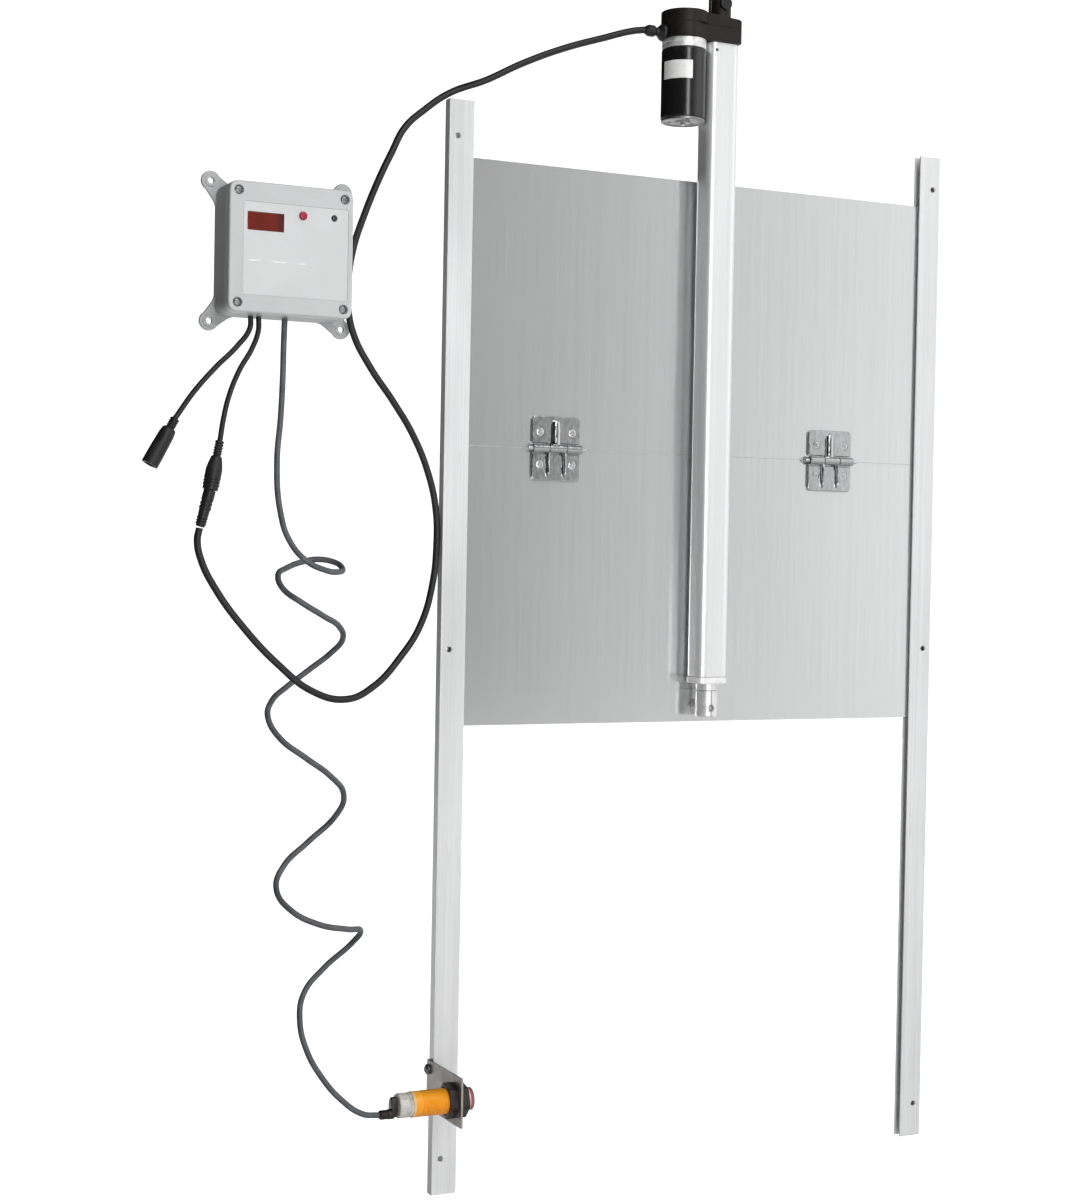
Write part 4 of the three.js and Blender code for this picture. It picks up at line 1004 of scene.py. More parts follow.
def housing_cover():
    """The lid falls away gently to its square end; a low drum stands over the motor."""
    low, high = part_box("housing_cover")
    x, y = ACTUATOR
    top = low.z + 8.6 * MM
    lid = plate("housing_cover_moulding", [housing_outline(0.0)], low.z - 0.25 * MM, top, 0.25 * MM, "up",
                MAT["housing"])
    fall_from, fall = x + 1 * MM, 3.0 * MM
    for vertex in lid.data.vertices:
        if vertex.co.z > (low.z + top) / 2:
            vertex.co.z -= fall * min(1.0, max(0.0, (vertex.co.x - fall_from) / (11.8 * MM)))
    drum_r, drum_top = 15.2 * MM, low.z + 9.3 * MM
    drum_profile = [(0.0, low.z + 0.2 * MM), (drum_r, low.z + 0.2 * MM), (drum_r, drum_top, 2.4 * MM),
                    (0.0, drum_top)]
    drum = lathe("tool", soften(drum_profile, 0.0, False, 8), (MOTOR_X + 1.8 * MM, y - 1.6 * MM, 0.0),
                 "z", MAT["housing"], 64)
    post_r, post_top = 8.2 * MM, high.z
    post_profile = [(0.0, low.z + 0.3 * MM), (post_r, low.z + 0.3 * MM), (post_r, post_top, 1.2 * MM),
                    (0.0, post_top)]
    post = lathe("tool", soften(post_profile, 0.0, False, 6), (x, y, 0.0), "z", MAT["housing"], 48)
    lid = carve(lid, drum, post, operation="UNION")
    slot = slab(x - 0.02, x + 0.02, y - 2 * MM, y + 2 * MM, low.z + 9.7 * MM, low.z + 38 * MM)
    eye = drill(3.3 * MM, (x, y, middle("rear_pin").z), "y", -0.012, 0.012)
    return place(carve(lid, slot, eye), "frame", "housing_plastic", "housing_cover")


def motor_can():
    """A drawn can, open below and hollow, with a small hole above for the shaft."""
    low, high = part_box("motor_can")
    r = MOTOR_RADIUS
    profile = [
        (r, low.z, 0.6 * MM), (r, high.z, 1.2 * MM), (3.5 * MM, high.z),
        (3.5 * MM, high.z - 3 * MM), (14.7 * MM, high.z - 3.7 * MM),
        (14.7 * MM, low.z, 0.2 * MM),
    ]
    can = lathe("motor_can_drawn", soften(profile, 0.3 * MM, True, 5), MOTOR_AT, "z", MAT["can"], 80,
                closed=True)
    return place(can, "frame", "motor_paint", "motor_can")


def motor_collar():
    """A ring between the can and the gear housing, with a shallow waist."""
    low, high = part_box("motor_collar")
    outer = 16.0 * MM
    waist = (low.z + high.z) / 2
    profile = [
        (outer, low.z, 0.5 * MM), (outer, waist - 0.7 * MM, 0.25 * MM),
        (outer - 0.15 * MM, waist - 0.3 * MM, 0.2 * MM), (outer - 0.15 * MM, waist + 0.3 * MM, 0.2 * MM),
        (outer, waist + 0.7 * MM, 0.25 * MM), (outer, high.z, 0.5 * MM), (6 * MM, high.z),
        (6 * MM, low.z),
    ]
    collar = lathe("motor_collar_turned", soften(profile, 0.2 * MM), MOTOR_AT, "z", MAT["collar"], 80,
                   closed=True)
    return place(collar, "frame", "bright_steel", "motor_collar")


def motor_end_bell():
    """The can's pressed bottom, with a bearing seat and three vent holes."""
    low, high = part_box("motor_end_bell")
    profile = [
        (2.1 * MM, high.z), (2.1 * MM, low.z, 0.3 * MM), (5.2 * MM, low.z, 0.3 * MM),
        (5.6 * MM, low.z + 0.9 * MM), (14.2 * MM, low.z + 0.9 * MM, 0.4 * MM),
        (14.6 * MM, low.z + 0.1 * MM, 0.3 * MM), (15.8 * MM, low.z + 0.1 * MM, 0.6 * MM),
        (15.8 * MM, high.z, 0.2 * MM),
    ]
    bell = lathe("motor_end_bell_pressed", soften(profile, 0.2 * MM), MOTOR_AT, "z", MAT["bell"], 80,
                 closed=True)
    tools = []
    for turn in VENT_TURNS:
        a = math.radians(turn)
        at = (MOTOR_X + 10 * MM * math.cos(a), ACTUATOR[1] + 10 * MM * math.sin(a), 0.0)
        tools.append(drill(1.7 * MM, at, "z", low.z - 1 * MM, high.z + 1 * MM, 20))
    return place(carve(bell, *tools), "frame", "steel", "motor_end_bell")


def motor_label():
    """A blank paper label wrapped part way round the can."""
    x, y = MOTOR_X, ACTUATOR[1]
    inside, outside = 16.23 * MM, 16.36 * MM
    start, end = -178.0, -96.0
    loop = arc((x, y), outside, start, end, 28) + arc((x, y), inside, end, start, 28)
    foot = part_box("motor_can")[0].z
    label = plate("motor_label", [loop], foot + 26.6 * MM, foot + 39.6 * MM, 0.03 * MM, "up", MAT["label"])
    return place(label, "frame", None)


def motor_cable_gland():
    _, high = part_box("motor_cable_gland")
    at = (high.x, ACTUATOR[1], middle("motor_cable_gland").z)
    profile = [
        (0.0, 0.0), (6.2 * MM, 0.0, 0.4 * MM), (6.0 * MM, 1.7 * MM, 0.6 * MM),
        (3.1 * MM, 5.0 * MM, 1.0 * MM), (2.8 * MM, 6.6 * MM, 0.8 * MM), (4.1 * MM, 8.0 * MM, 1.5 * MM),
        (4.1 * MM, 12.4 * MM, 1.5 * MM), (2.7 * MM, 15.0 * MM, 0.4 * MM), (0.0, 15.0 * MM),
    ]
    gland = lathe("motor_cable_boot", soften(profile, 0.4 * MM, False, 6), at, "-x", MAT["rubber"], 40,
                  sharp=60.0)
    return place(gland, "frame", "cord_black", "motor_cable_gland")


def pivot_bolt():
    """The bolt through the rod's end, its round head at the panel's back."""
    y = ACTUATOR[1]
    low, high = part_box("pivot_bolt")
    reach = high.y - y
    tip = low.y - y
    profile = [
        (0.0, tip), (2 * MM, tip, 0.4 * MM), (2 * MM, reach - 1.7 * MM),
        (4.5 * MM, reach - 1.7 * MM, 0.3 * MM), (4.4 * MM, reach - 0.4 * MM, 0.6 * MM), (3.0 * MM, reach),
        (0.0, reach),
    ]
    bolt = lathe("pivot_bolt_turned", soften(profile, 0.2 * MM, False), PIVOT_AT, "y", MAT["steel"], 32)
    return place(bolt, "door", "steel", "pivot_bolt")


def pivot_spacer():
    """A flanged sleeve between the rod's end and the panel."""
    y = ACTUATOR[1]
    low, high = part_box("pivot_spacer")
    near, far = low.y - y, high.y - y
    profile = [
        (2.3 * MM, near), (4.8 * MM, near, 0.5 * MM), (4.8 * MM, far - 1.5 * MM, 0.1 * MM),
        (5.6 * MM, far - 1.5 * MM, 0.4 * MM), (5.6 * MM, far, 0.3 * MM), (2.3 * MM, far),
    ]
    spacer = lathe("pivot_spacer_turned", soften(profile, 0.2 * MM), PIVOT_AT, "y", MAT["satin"], 40,
                   closed=True)
    return place(spacer, "door", "steel", "pivot_spacer")


def thread_surface(name, core, crest, pitch, low, high, at, axis, material, sides=48):
    """A screw thread as one helical surface, closed at both ends."""
    direction = Vector(AXES[axis])
    turn = Vector((0, 0, 1)).rotation_difference(direction).to_matrix().to_4x4()
    place_at = Matrix.Translation(at) @ turn
    steps = max(8, int((high - low) / pitch * 4))
    bm = bmesh.new()
    rings = [[bm.verts.new(place_at @ Vector((0, 0, low)))]]
    for i in range(steps + 1):
        along = low + (high - low) * i / steps
        fade = min(1.0, 2.0 * min(i, steps - i) / 4.0)
        ring = []
        for k in range(sides):
            a = 2 * math.pi * k / sides
            phase = (along / pitch - k / sides) % 1.0
            tooth = 1 - abs(2 * phase - 1)
            radius = core + (crest - core) * min(1.0, 1.5 * tooth) * fade
            ring.append(bm.verts.new(place_at @ Vector((radius * math.cos(a), radius * math.sin(a),
                                                        along))))
        rings.append(ring)
    rings.append([bm.verts.new(place_at @ Vector((0, 0, high)))])
    surface_rings(bm, rings, False)
    return mesh_piece(name, bm, material, 50.0)


def lead_screw():
    low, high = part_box("lead_screw")
    piece = thread_surface("lead_screw_rolled", 3.3 * MM, 4.0 * MM, 3.0 * MM, low.z, high.z,
                           (*ACTUATOR, 0.0), "z", MAT["steel"], 20)
    return place(piece, "screw", "steel", "lead_screw")


# ---------------------------------------------------------------- control box
BOX_X, BOX_Z = -328.0 * MM, 644.0 * MM
BOX_AT = (BOX_X, 0.0, BOX_Z)
BOX_HALF = 42.5 * MM
BOX_SPLIT = 24.0 * MM
BOX_FRONT = 34.0 * MM
BOX_WALL = 2.4 * MM
EAR_REACH = 46.0 * MM  # from the box's centre, across and up
LID_SCREW_REACH = 36.3 * MM
OVERLAY = (-33.0 * MM, 39.0 * MM, -31.0 * MM, 29.5 * MM)  # left, right, low and high edges
CORNERS = ((-1, -1), (1, -1), (-1, 1), (1, 1))
POST_RADIUS = 4.8 * MM
EAR_HOLE_RADIUS = 2.2 * MM
# Where each cord leaves the box, across from its centre, and how thick the cord is.
CORD_OUTLETS = ((-22.0 * MM, LEAD_DIAMETER), (-16.6 * MM, LEAD_DIAMETER), (1.4 * MM, SENSOR_CABLE_DIAMETER))


def box_square(inset, corner):
    half = BOX_HALF - inset
    return soften(rectangle(-half, half, -half, half), corner, steps=8)


def ear_outline(x, z):
    """A teardrop tab: round about its hole, with hollow flanks into the box's corner."""
    tip = arc((EAR_REACH, EAR_REACH), 6.5 * MM, 150.0, -60.0, 20)
    flank = soften([tip[-1], (42.5 * MM, 31.0 * MM, 13 * MM), (42.0 * MM, 20 * MM), (28 * MM, 20 * MM),
                    (20 * MM, 28 * MM), (20 * MM, 42.0 * MM), (31.0 * MM, 42.5 * MM, 13 * MM),
                    tip[0]], 1 * MM, False, 6)
    return [(u * x, v * z) for u, v in tip + flank[1:-1]]


def box_base():
    """The box's rear part: a tray with four ears, holes for the cords and posts for the lid's screws."""
    at = BOX_AT
    base = plate("box_base_moulding", [box_square(0.0, 6.6 * MM)], 0.0, BOX_SPLIT, 0.5 * MM, "front",
                 MAT["abs_base"], at)
    ears = []
    for x, z in CORNERS:
        ears.append(plate("tool", [ear_outline(x, z)], 0.03 * MM, 3.0 * MM, 0.7 * MM, "front", MAT["abs"],
                          at))
        boss = disc((x * EAR_REACH, z * EAR_REACH), 4.2 * MM, 32)
        ears.append(plate("tool", [boss], 0.5 * MM, 3.6 * MM, 0.3 * MM, "front", MAT["abs"], at))
    base = carve(base, *ears, operation="UNION")
    holes = [(BOX_X + x * EAR_REACH, 0.0, BOX_Z + z * EAR_REACH) for x, z in CORNERS]
    base = carve(base, *[drill(EAR_HOLE_RADIUS, hole, "-y", -1 * MM, 5 * MM, 32) for hole in holes])
    tools = [plate("tool", [box_square(BOX_WALL, 4 * MM)], BOX_WALL, BOX_SPLIT + 4 * MM, 0.2 * MM,
                   "front", MAT["abs"], at)]
    for x, diameter in CORD_OUTLETS:
        tools.append(drill(diameter / 2 + 0.2 * MM, (BOX_X + x, -17 * MM, BOX_Z - BOX_HALF), "z", -2 * MM,
                           4 * MM, 24))
    base = carve(base, *tools)
    posts = []
    for x, z in CORNERS:
        centre = (x * LID_SCREW_REACH, z * LID_SCREW_REACH)
        posts.append(plate("tool", [disc(centre, POST_RADIUS, 28), disc(centre, 1.7 * MM, 20)], 1.2 * MM,
                           BOX_SPLIT - 0.3 * MM, 0.1 * MM, "front", MAT["abs"], at))
    return place(carve(base, *posts, operation="UNION"), "frame", "box_plastic", "box_base")


def box_lid():
    """The front part, with a shallow bed for the overlay and openings for what shows through it."""
    at = BOX_AT
    back = BOX_SPLIT + 0.3 * MM
    lid = plate("box_lid_moulding", [box_square(0.0, 6.6 * MM)], back - 3 * MM, BOX_FRONT, 1.3 * MM,
                "front", MAT["abs"], at)
    tools = [slab(BOX_X - 0.1, BOX_X + 0.1, 0.01, -back, BOX_Z - 0.1, BOX_Z + 0.1)]
    tools.append(plate("tool", [box_square(BOX_WALL, 4 * MM)], back - 9 * MM, BOX_FRONT - BOX_WALL,
                       0.2 * MM, "front", MAT["abs"], at))
    left, right, low, high = OVERLAY
    tools.append(plate("tool", [soften(rectangle(left, right, low, high), 1.5 * MM)],
                       BOX_FRONT - 0.5 * MM, BOX_FRONT + 2 * MM, 0.05 * MM, "front", MAT["abs"], at))
    lid = carve(lid, *tools)
    posts = []
    for x, z in CORNERS:
        centre = (x * LID_SCREW_REACH, z * LID_SCREW_REACH)
        posts.append(plate("tool", [disc(centre, POST_RADIUS, 28)], back + 0.2 * MM, BOX_FRONT - 1.1 * MM,
                           0.1 * MM, "front", MAT["abs"], at))
    lid = carve(lid, *posts, operation="UNION")
    tools = [lid_opening("display_window", 0.3 * MM)]
    for node in ("push_button", "light_sensor"):
        centre, radius = fitting(node)
        tools.append(drill(radius + 0.3 * MM, (centre.x, 0.0, centre.z), "-y", 0.02, 0.04, 28))
    for x, z in CORNERS:
        centre = (BOX_X + x * LID_SCREW_REACH, 0.0, BOX_Z + z * LID_SCREW_REACH)
        recess = [(0.0, 0.02), (2.1 * MM, 0.02), (2.1 * MM, BOX_FRONT - 2.6 * MM),
                  (3.1 * MM, BOX_FRONT - 2.6 * MM), (3.1 * MM, BOX_FRONT - 0.4 * MM),
                  (3.6 * MM, BOX_FRONT + 0.1 * MM), (3.6 * MM, 0.036), (0.0, 0.036)]
        tools.append(lathe("tool", recess, centre, "-y", MAT["abs"], 32))
    return place(carve(lid, *tools), "frame", "box_plastic", "box_lid")


def lid_opening(node, gap):
    low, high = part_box(node)
    corners = rectangle(low.x - gap, high.x + gap, low.z - gap, high.z + gap)
    return plate("tool", [soften(corners, 0.6 * MM)], 0.02, 0.04, 0.05 * MM, "front", MAT["abs"])


def fitting(node):
    """Centre and radius of a round piece that comes out through the lid."""
    low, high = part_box(node)
    radius = 2.6 * MM if node == "push_button" else (high.x - low.x) / 2
    return (low + high) / 2, radius


def box_overlay_film():
    left, right, low, high = OVERLAY
    gap = 0.15 * MM
    outline = soften(rectangle(left + gap, right - gap, low + gap, high - gap), 1.4 * MM)
    film = plate("box_overlay", [outline], BOX_FRONT - 0.48 * MM, BOX_FRONT - 0.2 * MM, 0.06 * MM,
                 "front", MAT["overlay"], BOX_AT)
    tools = [lid_opening("display_window", 0.25 * MM)]
    for node in ("push_button", "light_sensor"):
        centre, radius = fitting(node)
        tools.append(drill(radius + 0.25 * MM, (centre.x, 0.0, centre.z), "-y", 0.03, 0.04, 28))
    return place(carve(film, *tools), "frame", "box_plastic")


def box_overlay_line():
    """A plain raised line across the film, under the window."""
    outline = soften(rectangle(-30 * MM, 10 * MM, -9.1 * MM, -8.1 * MM), 0.4 * MM)
    line = plate("box_overlay_line", [outline], BOX_FRONT - 0.3 * MM, BOX_FRONT - 0.05 * MM, 0.04 * MM,
                 "front", MAT["line"], BOX_AT)
    return place(line, "frame", None)


def display_window():
    low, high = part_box("display_window")
    outline = soften(rectangle(low.x, high.x, low.z, high.z), 0.5 * MM)
    window = plate("display_window_pane", [outline], -high.y, -low.y, 0.2 * MM, "front", MAT["display"])
    return place(window, "frame", "display_red", "display_window")


def push_button():
    low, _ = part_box("push_button")
    centre, radius = fitting("push_button")
    top = -low.y
    flange = 31.3 * MM
    profile = [
        (0.0, top), (radius * 0.55, top - 0.12 * MM, 0.5 * MM), (radius, top - 0.35 * MM, 0.5 * MM),
        (radius, flange), (4 * MM, flange, 0.1 * MM), (4 * MM, flange - 1 * MM, 0.1 * MM),
        (1.8 * MM, flange - 1 * MM), (1.8 * MM, 22 * MM), (0.0, 22 * MM),
    ]
    button = lathe("push_button_cap", soften(profile, 0.1 * MM, False, 5), (centre.x, 0.0, centre.z),
                   "-y", MAT["button"], 40)
    return place(button, "button", "button_red", "push_button")


def light_sensor():
    low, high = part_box("light_sensor")
    centre, radius = fitting("light_sensor")
    top, foot = -low.y, -high.y
    profile = [(0.0, top), (radius * 0.6, top - 0.25 * MM, 0.8 * MM), (radius, top - 1.0 * MM, 0.5 * MM),
               (radius, foot), (0.0, foot)]
    dome = lathe("light_sensor_dome", soften(profile, 0.1 * MM, False, 6), (centre.x, 0.0, centre.z),
                 "-y", MAT["dark"], 32)
    return place(dome, "frame", "dark_plastic", "light_sensor")


def lid_screw(number, x, z):
    """Pan head with a cross recess, on a shank into the base's post."""
    top = BOX_FRONT - 0.9 * MM
    at = (BOX_X + x * LID_SCREW_REACH, 0.0, BOX_Z + z * LID_SCREW_REACH)
    profile = [
        (0.0, top), (1.4 * MM, top - 0.1 * MM, 0.8 * MM), (2.7 * MM, top - 0.7 * MM, 0.5 * MM),
        (2.7 * MM, top - 1.6 * MM), (1.4 * MM, top - 1.6 * MM), (1.4 * MM, 12 * MM), (0.0, 10 * MM),
    ]
    screw = lathe(f"lid_screw_{number}_head", soften(profile, 0.1 * MM, False, 4), at, "-y",
                  MAT["dark_steel"], 32)
    face = Vector(at) + Vector((0.0, -top, 0.0))
    piece = carve(screw, *cross_recess(face, "-y", 1.9 * MM, 0.85 * MM, 1.0 * MM))
    return place(piece, "frame", "steel", f"lid_screw_{number}")


# ---------------------------------------------------------------- beam sensor
SENSOR_AXIS = (-48.0 * MM, 77.0 * MM)


def sensor_at(x=0.0):
    return (x, *SENSOR_AXIS)


def sensor_body():
    low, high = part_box("sensor_body")
    r = (high.z - low.z) / 2
    smooth = 6.0 * MM
    barrel = thread_surface("sensor_barrel", r - 0.35 * MM, r, 1.0 * MM, low.x + smooth, high.x,
                            sensor_at(), "x", MAT["orange"], 56)
    profile = [(0.0, low.x), (r - 0.6 * MM, low.x), (r, low.x + 0.8 * MM, 0.4 * MM),
               (r, low.x + smooth, 0.1 * MM), (r - 0.5 * MM, low.x + smooth + 0.6 * MM),
               (0.0, low.x + smooth + 0.6 * MM)]
    shoulder = lathe("tool", soften(profile, 0.2 * MM, False), sensor_at(), "x", MAT["orange"], 56)
    return place(carve(barrel, shoulder, operation="UNION"), "frame", "sensor_orange", "sensor_body")


def sensor_band():
    """The pale ring where the cap plugs into the barrel."""
    low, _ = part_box("sensor_body")
    r = 8.74 * MM
    profile = [(r - 0.9 * MM, low.x - 0.25 * MM), (r, low.x - 0.25 * MM), (r, low.x + 1.5 * MM),
               (r - 0.9 * MM, low.x + 1.5 * MM)]
    band = lathe("sensor_band", soften(profile, 0.25 * MM), sensor_at(), "x", MAT["cream"], 56, closed=True)
    return place(band, "frame", "sensor_smoke")


def sensor_rear_cap():
    low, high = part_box("sensor_rear_cap")
    r = (high.z - low.z) / 2
    profile = [(0.0, low.x), (r, low.x, 1.4 * MM), (r, low.x + 6.4 * MM, 0.2 * MM),
               (r - 0.5 * MM, low.x + 6.8 * MM, 0.2 * MM), (r - 0.5 * MM, low.x + 7.4 * MM, 0.2 * MM),
               (r, low.x + 7.8 * MM, 0.2 * MM), (r, high.x), (0.0, high.x)]
    cap = lathe("sensor_rear_cap_turned", soften(profile, 0.2 * MM, False), sensor_at(), "x",
                MAT["smoke"], 56)
    return place(cap, "frame", "sensor_smoke", "sensor_rear_cap")


def sensor_lens():
    low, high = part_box("sensor_lens")
    r = (high.z - low.z) / 2
    profile = [(0.0, low.x), (r, low.x, 0.3 * MM), (r, high.x - 1.0 * MM, 0.6 * MM),
               (r - 1.2 * MM, high.x - 0.5 * MM, 0.3 * MM), (r - 1.8 * MM, high.x - 0.9 * MM, 0.3 * MM),
               (r * 0.5, high.x - 0.3 * MM, 2 * MM), (0.0, high.x)]
    lens = lathe("sensor_lens_moulding", soften(profile, 0.3 * MM, False), sensor_at(), "x", MAT["lens"],
                 56)
    return place(lens, "frame", "sensor_lens", "sensor_lens")


def sensor_rim():
    """The pale pink front edge of the barrel round the lens."""
    low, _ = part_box("sensor_lens")
    profile = [(7.85 * MM, low.x - 0.3 * MM), (8.5 * MM, low.x - 0.3 * MM), (8.5 * MM, low.x + 1.2 * MM),
               (7.85 * MM, low.x + 1.2 * MM)]
    rim = lathe("sensor_rim", soften(profile, 0.2 * MM), sensor_at(), "x", MAT["rim"], 56, closed=True)
    return place(rim, "frame", "sensor_lens")


def sensor_nut(node):
    """Hexagon nut with rounded corners and chamfered faces, with three grooves cut round it."""
    low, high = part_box(node)
    outer = (high.z - low.z) / 2
    width = high.x - low.x
    y, z = SENSOR_AXIS
    corners = [(outer * 1.07 * math.cos(math.radians(60 * k + 12)),
                outer * 1.07 * math.sin(math.radians(60 * k + 12))) for k in range(6)]
    hexagon = soften(corners, 3.2 * MM, steps=6)
    nut = plate(node + "_hex", [hexagon, disc((0.0, 0.0), 9.0 * MM, 56)], low.x, high.x, 0.55 * MM,
                "right", MAT["nut"], (0.0, y, z))
    ridges = []
    for k in range(3):
        at = low.x + width * (0.3 + 0.2 * k)
        groove = [(outer - 0.35 * MM, at), (outer + 2 * MM, at - 0.3 * MM), (outer + 2 * MM, at + 0.3 * MM)]
        ridges.append(lathe("tool", groove, sensor_at(), "x", MAT["nut"], 56, closed=True))
    return place(carve(nut, *ridges), "frame", "dark_plastic", node)


def sensor_cable_outlet():
    low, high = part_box("sensor_cable_outlet")
    y, z = SENSOR_AXIS
    face = high.x
    disc_profile = [(0.0, face), (7 * MM, face, 0.4 * MM), (7 * MM, face - 4.2 * MM, 1.2 * MM),
                    (0.0, face - 4.2 * MM)]
    outlet = lathe("sensor_cable_boot", soften(disc_profile, 0.2 * MM, False, 5), (0.0, y, z - 0.6 * MM),
                   "x", MAT["nut"], 48)
    for vertex in outlet.data.vertices:
        vertex.co.y = y + 0.5 * (vertex.co.y - y)
    tail = [(0.0, face - 2 * MM), (3.4 * MM, face - 2 * MM), (3.4 * MM, face - 6 * MM),
            *reversed(grooved(3.2 * MM, low.x + 1 * MM, face - 6.4 * MM, 3, 0.5 * MM)),
            (2.5 * MM, low.x, 0.3 * MM), (0.0, low.x)]
    boot = lathe("tool", soften(tail, 0.25 * MM, False), (0.0, y, z - 5 * MM), "x", MAT["nut"], 40)
    return place(carve(outlet, boot, operation="UNION"), "frame", "cord_black", "sensor_cable_outlet")


def sensor_bracket():
    low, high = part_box("sensor_bracket")
    outline = soften(rectangle(low.y, high.y, low.z, high.z), 1.2 * MM, steps=5)
    bolt = middle("bracket_bolt")
    holes = [disc(SENSOR_AXIS, 9.0 * MM, 56), disc((bolt.y, bolt.z), 2.3 * MM, 24)]
    bracket = plate("sensor_bracket_plate", [outline, *holes], low.x, high.x, 0.2 * MM, "right",
                    MAT["zinc"])
    return place(bracket, "frame", "bracket_steel", "sensor_bracket")


def bracket_bolt():
    low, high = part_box("bracket_bolt")
    centre = (low + high) / 2
    head = 2.6 * MM
    profile = [(0.0, low.x), (2.2 * MM, low.x + 0.15 * MM, 0.8 * MM),
               (3.6 * MM, low.x + 1.3 * MM, 0.6 * MM), (3.6 * MM, low.x + head), (2 * MM, low.x + head),
               (2 * MM, high.x, 0.4 * MM), (0.0, high.x)]
    bolt = lathe("bracket_bolt_turned", soften(profile, 0.1 * MM, False), (0.0, centre.y, centre.z), "x",
                 MAT["dark_steel"], 32)
    face = Vector((low.x, centre.y, centre.z))
    piece = carve(bolt, *cross_recess(face, "-x", 2.0 * MM, 0.8 * MM, 0.9 * MM))
    return place(piece, "frame", "steel", "bracket_bolt")


# ---------------------------------------------------------------- build
KEPT_NODES = {
    "drive_nut": "nylon", "rear_pin": "black_oxide", "wall_bracket": "zinc",
    "screw_bearing": "steel", "motor_pinion": "brass", "idler_gear": "nylon", "idler_pin": "steel",
    "screw_gear": "nylon", "motor_magnets": "ferrite", "motor_rotor": "steel", "display_module": "dark",
    "circuit_board": "board",
}


def build_cords():
    jack, socket, plug = power_jack(), actuator_socket(), motor_plug()
    gland, outlet = motor_cable_gland(), sensor_cable_outlet()
    cable = cord_piece("motor_cable_run", MOTOR_CABLE_ROUTE, MOTOR_CABLE_DIAMETER, "rubber", "motor_cable",
                       "cord_black")
    lead = cord_piece("power_lead_run", POWER_LEAD_ROUTE, LEAD_DIAMETER, "rubber", "power_lead",
                      "cord_black")
    lead = cord_piece("actuator_lead_run", ACTUATOR_LEAD_ROUTE, LEAD_DIAMETER, "rubber", "actuator_lead",
                      "cord_black")
    cable = cord_piece("sensor_cable_run", SENSOR_CABLE_ROUTE, SENSOR_CABLE_DIAMETER, "grey_rubber",
                       "sensor_cable", "cord_grey")


def build_all():
    build_cords()
    for node, material in KEPT_NODES.items():
        dress(node, material)
    rail("left", "left_rail")
    rail("right", "right_rail")
    for level in ("upper", "lower"):
        panel_sheet(level)
    for side in ("left", "right"):
        hinge(side)
    for make in (actuator_tube, tube_end_cap, rod, rod_end, gear_housing, housing_cover, motor_can,
                 motor_collar, motor_end_bell, motor_label, pivot_bolt, pivot_spacer, lead_screw):
        make()
    for make in (box_base, box_lid, box_overlay_film, box_overlay_line, display_window, push_button,
                 light_sensor):
        make()
    for number, (x, z) in enumerate(CORNERS, 1):
        lid_screw(number, x, z)
    for make in (sensor_body, sensor_band, sensor_rear_cap, sensor_lens, sensor_rim, sensor_bracket,
                 bracket_bolt):
        make()
    sensor_nut("sensor_nut_rear")
    sensor_nut("sensor_nut_front")


build_all()


# ---------------------------------------------------------------- floor and light
FLOOR_HEIGHT = -0.25
FLOOR_REACH = 5.6
FLOOR_BACK = (0.43, 0.90, 0.0)
FLOOR_GLOW = (0.42, 0.72)  # metres behind the object: dark to bright
FLOOR_FRONT = (-2.2, -0.8)  # metres in front of it: bright to dark
FLOOR_FRONT_GLOW = 0.3
TENT_RADIUS = 6.0
TENT_TOP = 5.0
TENT_SIDES = 48
TENT_DARK, TENT_BRIGHT = 0.03, 1.36
TENT_FADE = (0.9, 5.2)  # along X
TENT_SIDE, TENT_SIDE_FADE = 0.5, (-3.6, -0.6)  # dimmer again beside the object, along Y


def make_floor():
    """A pale floor a little below the rails, lit from within in front of the part and behind it."""
    finish = Finish("studio_floor", (0.86, 0.86, 0.86), 0.7, Emission_Color=(1.0, 1.0, 1.0, 1.0))
    finish.shade(finish.noise(3.0, 4.0), 0.995, 1.005).bump(finish.noise(120.0, 3.0), 0.0002, 0.1)
    behind = shader_node(finish.tree, "VectorMath", operation="DOT_PRODUCT")
    behind.inputs[1].default_value = FLOOR_BACK
    finish.link(finish.place, behind, 0)
    both = shader_node(finish.tree, "Math", operation="ADD")
    finish.link(finish.level(behind.outputs["Value"], 0.0, 1.0, *FLOOR_GLOW), both, 0)
    finish.link(finish.level(behind.outputs["Value"], FLOOR_FRONT_GLOW, 0.0, *FLOOR_FRONT), both, 1)
    finish.link(both.outputs["Value"], finish.shader, "Emission Strength")
    bm = bmesh.new()
    steps = 6
    rows = [[bm.verts.new((FLOOR_REACH * (2 * i / steps - 1), FLOOR_REACH * (2 * j / steps - 1),
                           FLOOR_HEIGHT))
             for i in range(steps + 1)] for j in range(steps + 1)]
    for low, high in zip(rows, rows[1:]):
        for i in range(steps):
            bm.faces.new((low[i], low[i + 1], high[i + 1], high[i]))
    mesh_piece("studio_floor", bm, finish.done(), 60.0)


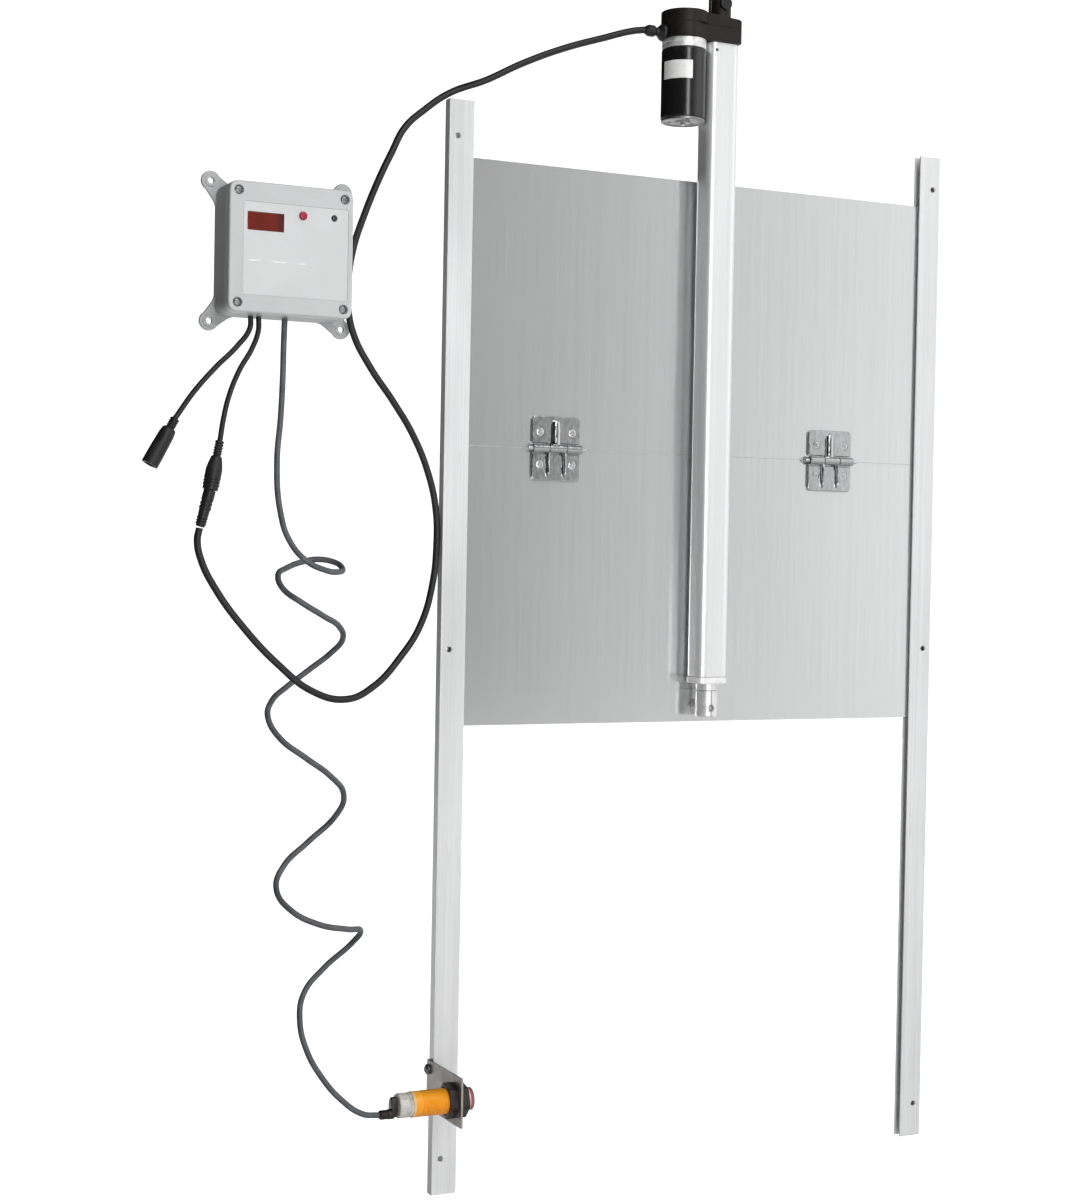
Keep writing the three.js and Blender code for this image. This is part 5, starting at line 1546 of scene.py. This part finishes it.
def make_tent():
    """Soft light all round and above, dim on the left and bright on the right. The camera doesn't see it."""
    glow = bpy.data.materials.new("studio_tent")
    glow.use_nodes = True
    tree = glow.node_tree
    tree.nodes.clear()
    spot = shader_node(tree, "TexCoord").outputs["Object"]
    parts = shader_node(tree, "SeparateXYZ")
    tree.links.new(spot, parts.inputs[0])
    fade = shader_node(tree, "MapRange", interpolation_type="SMOOTHSTEP", From_Min=TENT_FADE[0],
                       From_Max=TENT_FADE[1], To_Min=TENT_DARK, To_Max=TENT_BRIGHT)
    tree.links.new(parts.outputs["X"], fade.inputs["Value"])
    side = shader_node(tree, "MapRange", interpolation_type="SMOOTHSTEP", From_Min=TENT_SIDE_FADE[0],
                       From_Max=TENT_SIDE_FADE[1], To_Min=1.0, To_Max=TENT_SIDE)
    tree.links.new(parts.outputs["Y"], side.inputs["Value"])
    both = shader_node(tree, "Math", operation="MULTIPLY")
    tree.links.new(fade.outputs["Result"], both.inputs[0])
    tree.links.new(side.outputs["Result"], both.inputs[1])
    emission = shader_node(tree, "Emission")
    tree.links.new(both.outputs["Value"], emission.inputs["Strength"])
    output = shader_node(tree, "OutputMaterial")
    tree.links.new(emission.outputs["Emission"], output.inputs["Surface"])
    bm = bmesh.new()
    rows = [[bm.verts.new((x, y, z)) for x, y in arc((0.0, 0.0), TENT_RADIUS, 0.0, 360.0, TENT_SIDES)]
            for z in (FLOOR_HEIGHT - 0.05, TENT_TOP)]
    for i in range(TENT_SIDES):
        bm.faces.new((rows[0][i], rows[0][i + 1], rows[1][i + 1], rows[1][i]))
    roof = bm.verts.new((0.0, 0.0, TENT_TOP))
    for i in range(TENT_SIDES):
        bm.faces.new((rows[1][i], rows[1][i + 1], roof))
    tent = mesh_piece("studio_tent", bm, glow, 60.0)
    tent.visible_camera = False


WORLD_STRENGTH = 1.2
LIGHTS = {  # place, aim, width, height and watts
    "key_light": ((0.3, -2.7, 3.7), (-0.1, 0.0, 0.45), 2.5, 1.4, 60.0),
    "strip_light": ((-0.25, -3.2, 1.6), (-0.02, 0.0, 0.7), 0.6, 1.4, 22.0),
    "low_light": ((-0.5, -3.2, 0.1), (-0.1, 0.0, 0.0), 0.9, 0.7, 20.0),
}


def make_world():
    world = bpy.data.worlds.new("studio")
    world.use_nodes = True
    world.node_tree.nodes["Background"].inputs["Color"].default_value = (1.0, 1.0, 1.0, 1.0)
    world.node_tree.nodes["Background"].inputs["Strength"].default_value = WORLD_STRENGTH
    bpy.context.scene.world = world


def area_light(name, at, aim, width, height, power):
    data = bpy.data.lights.new(name, "AREA")
    data.shape = "RECTANGLE"
    data.size = width
    data.size_y = height
    data.energy = power
    light = bpy.data.objects.new(name, data)
    light.location = at
    light.rotation_euler = (Vector(aim) - Vector(at)).to_track_quat("-Z", "Y").to_euler()
    light.visible_camera = False
    bpy.context.scene.collection.objects.link(light)


make_floor()
make_tent()
make_world()
for light_name, settings in LIGHTS.items():
    area_light(light_name, *settings)
bpy.context.scene.view_settings.view_transform = "Standard"
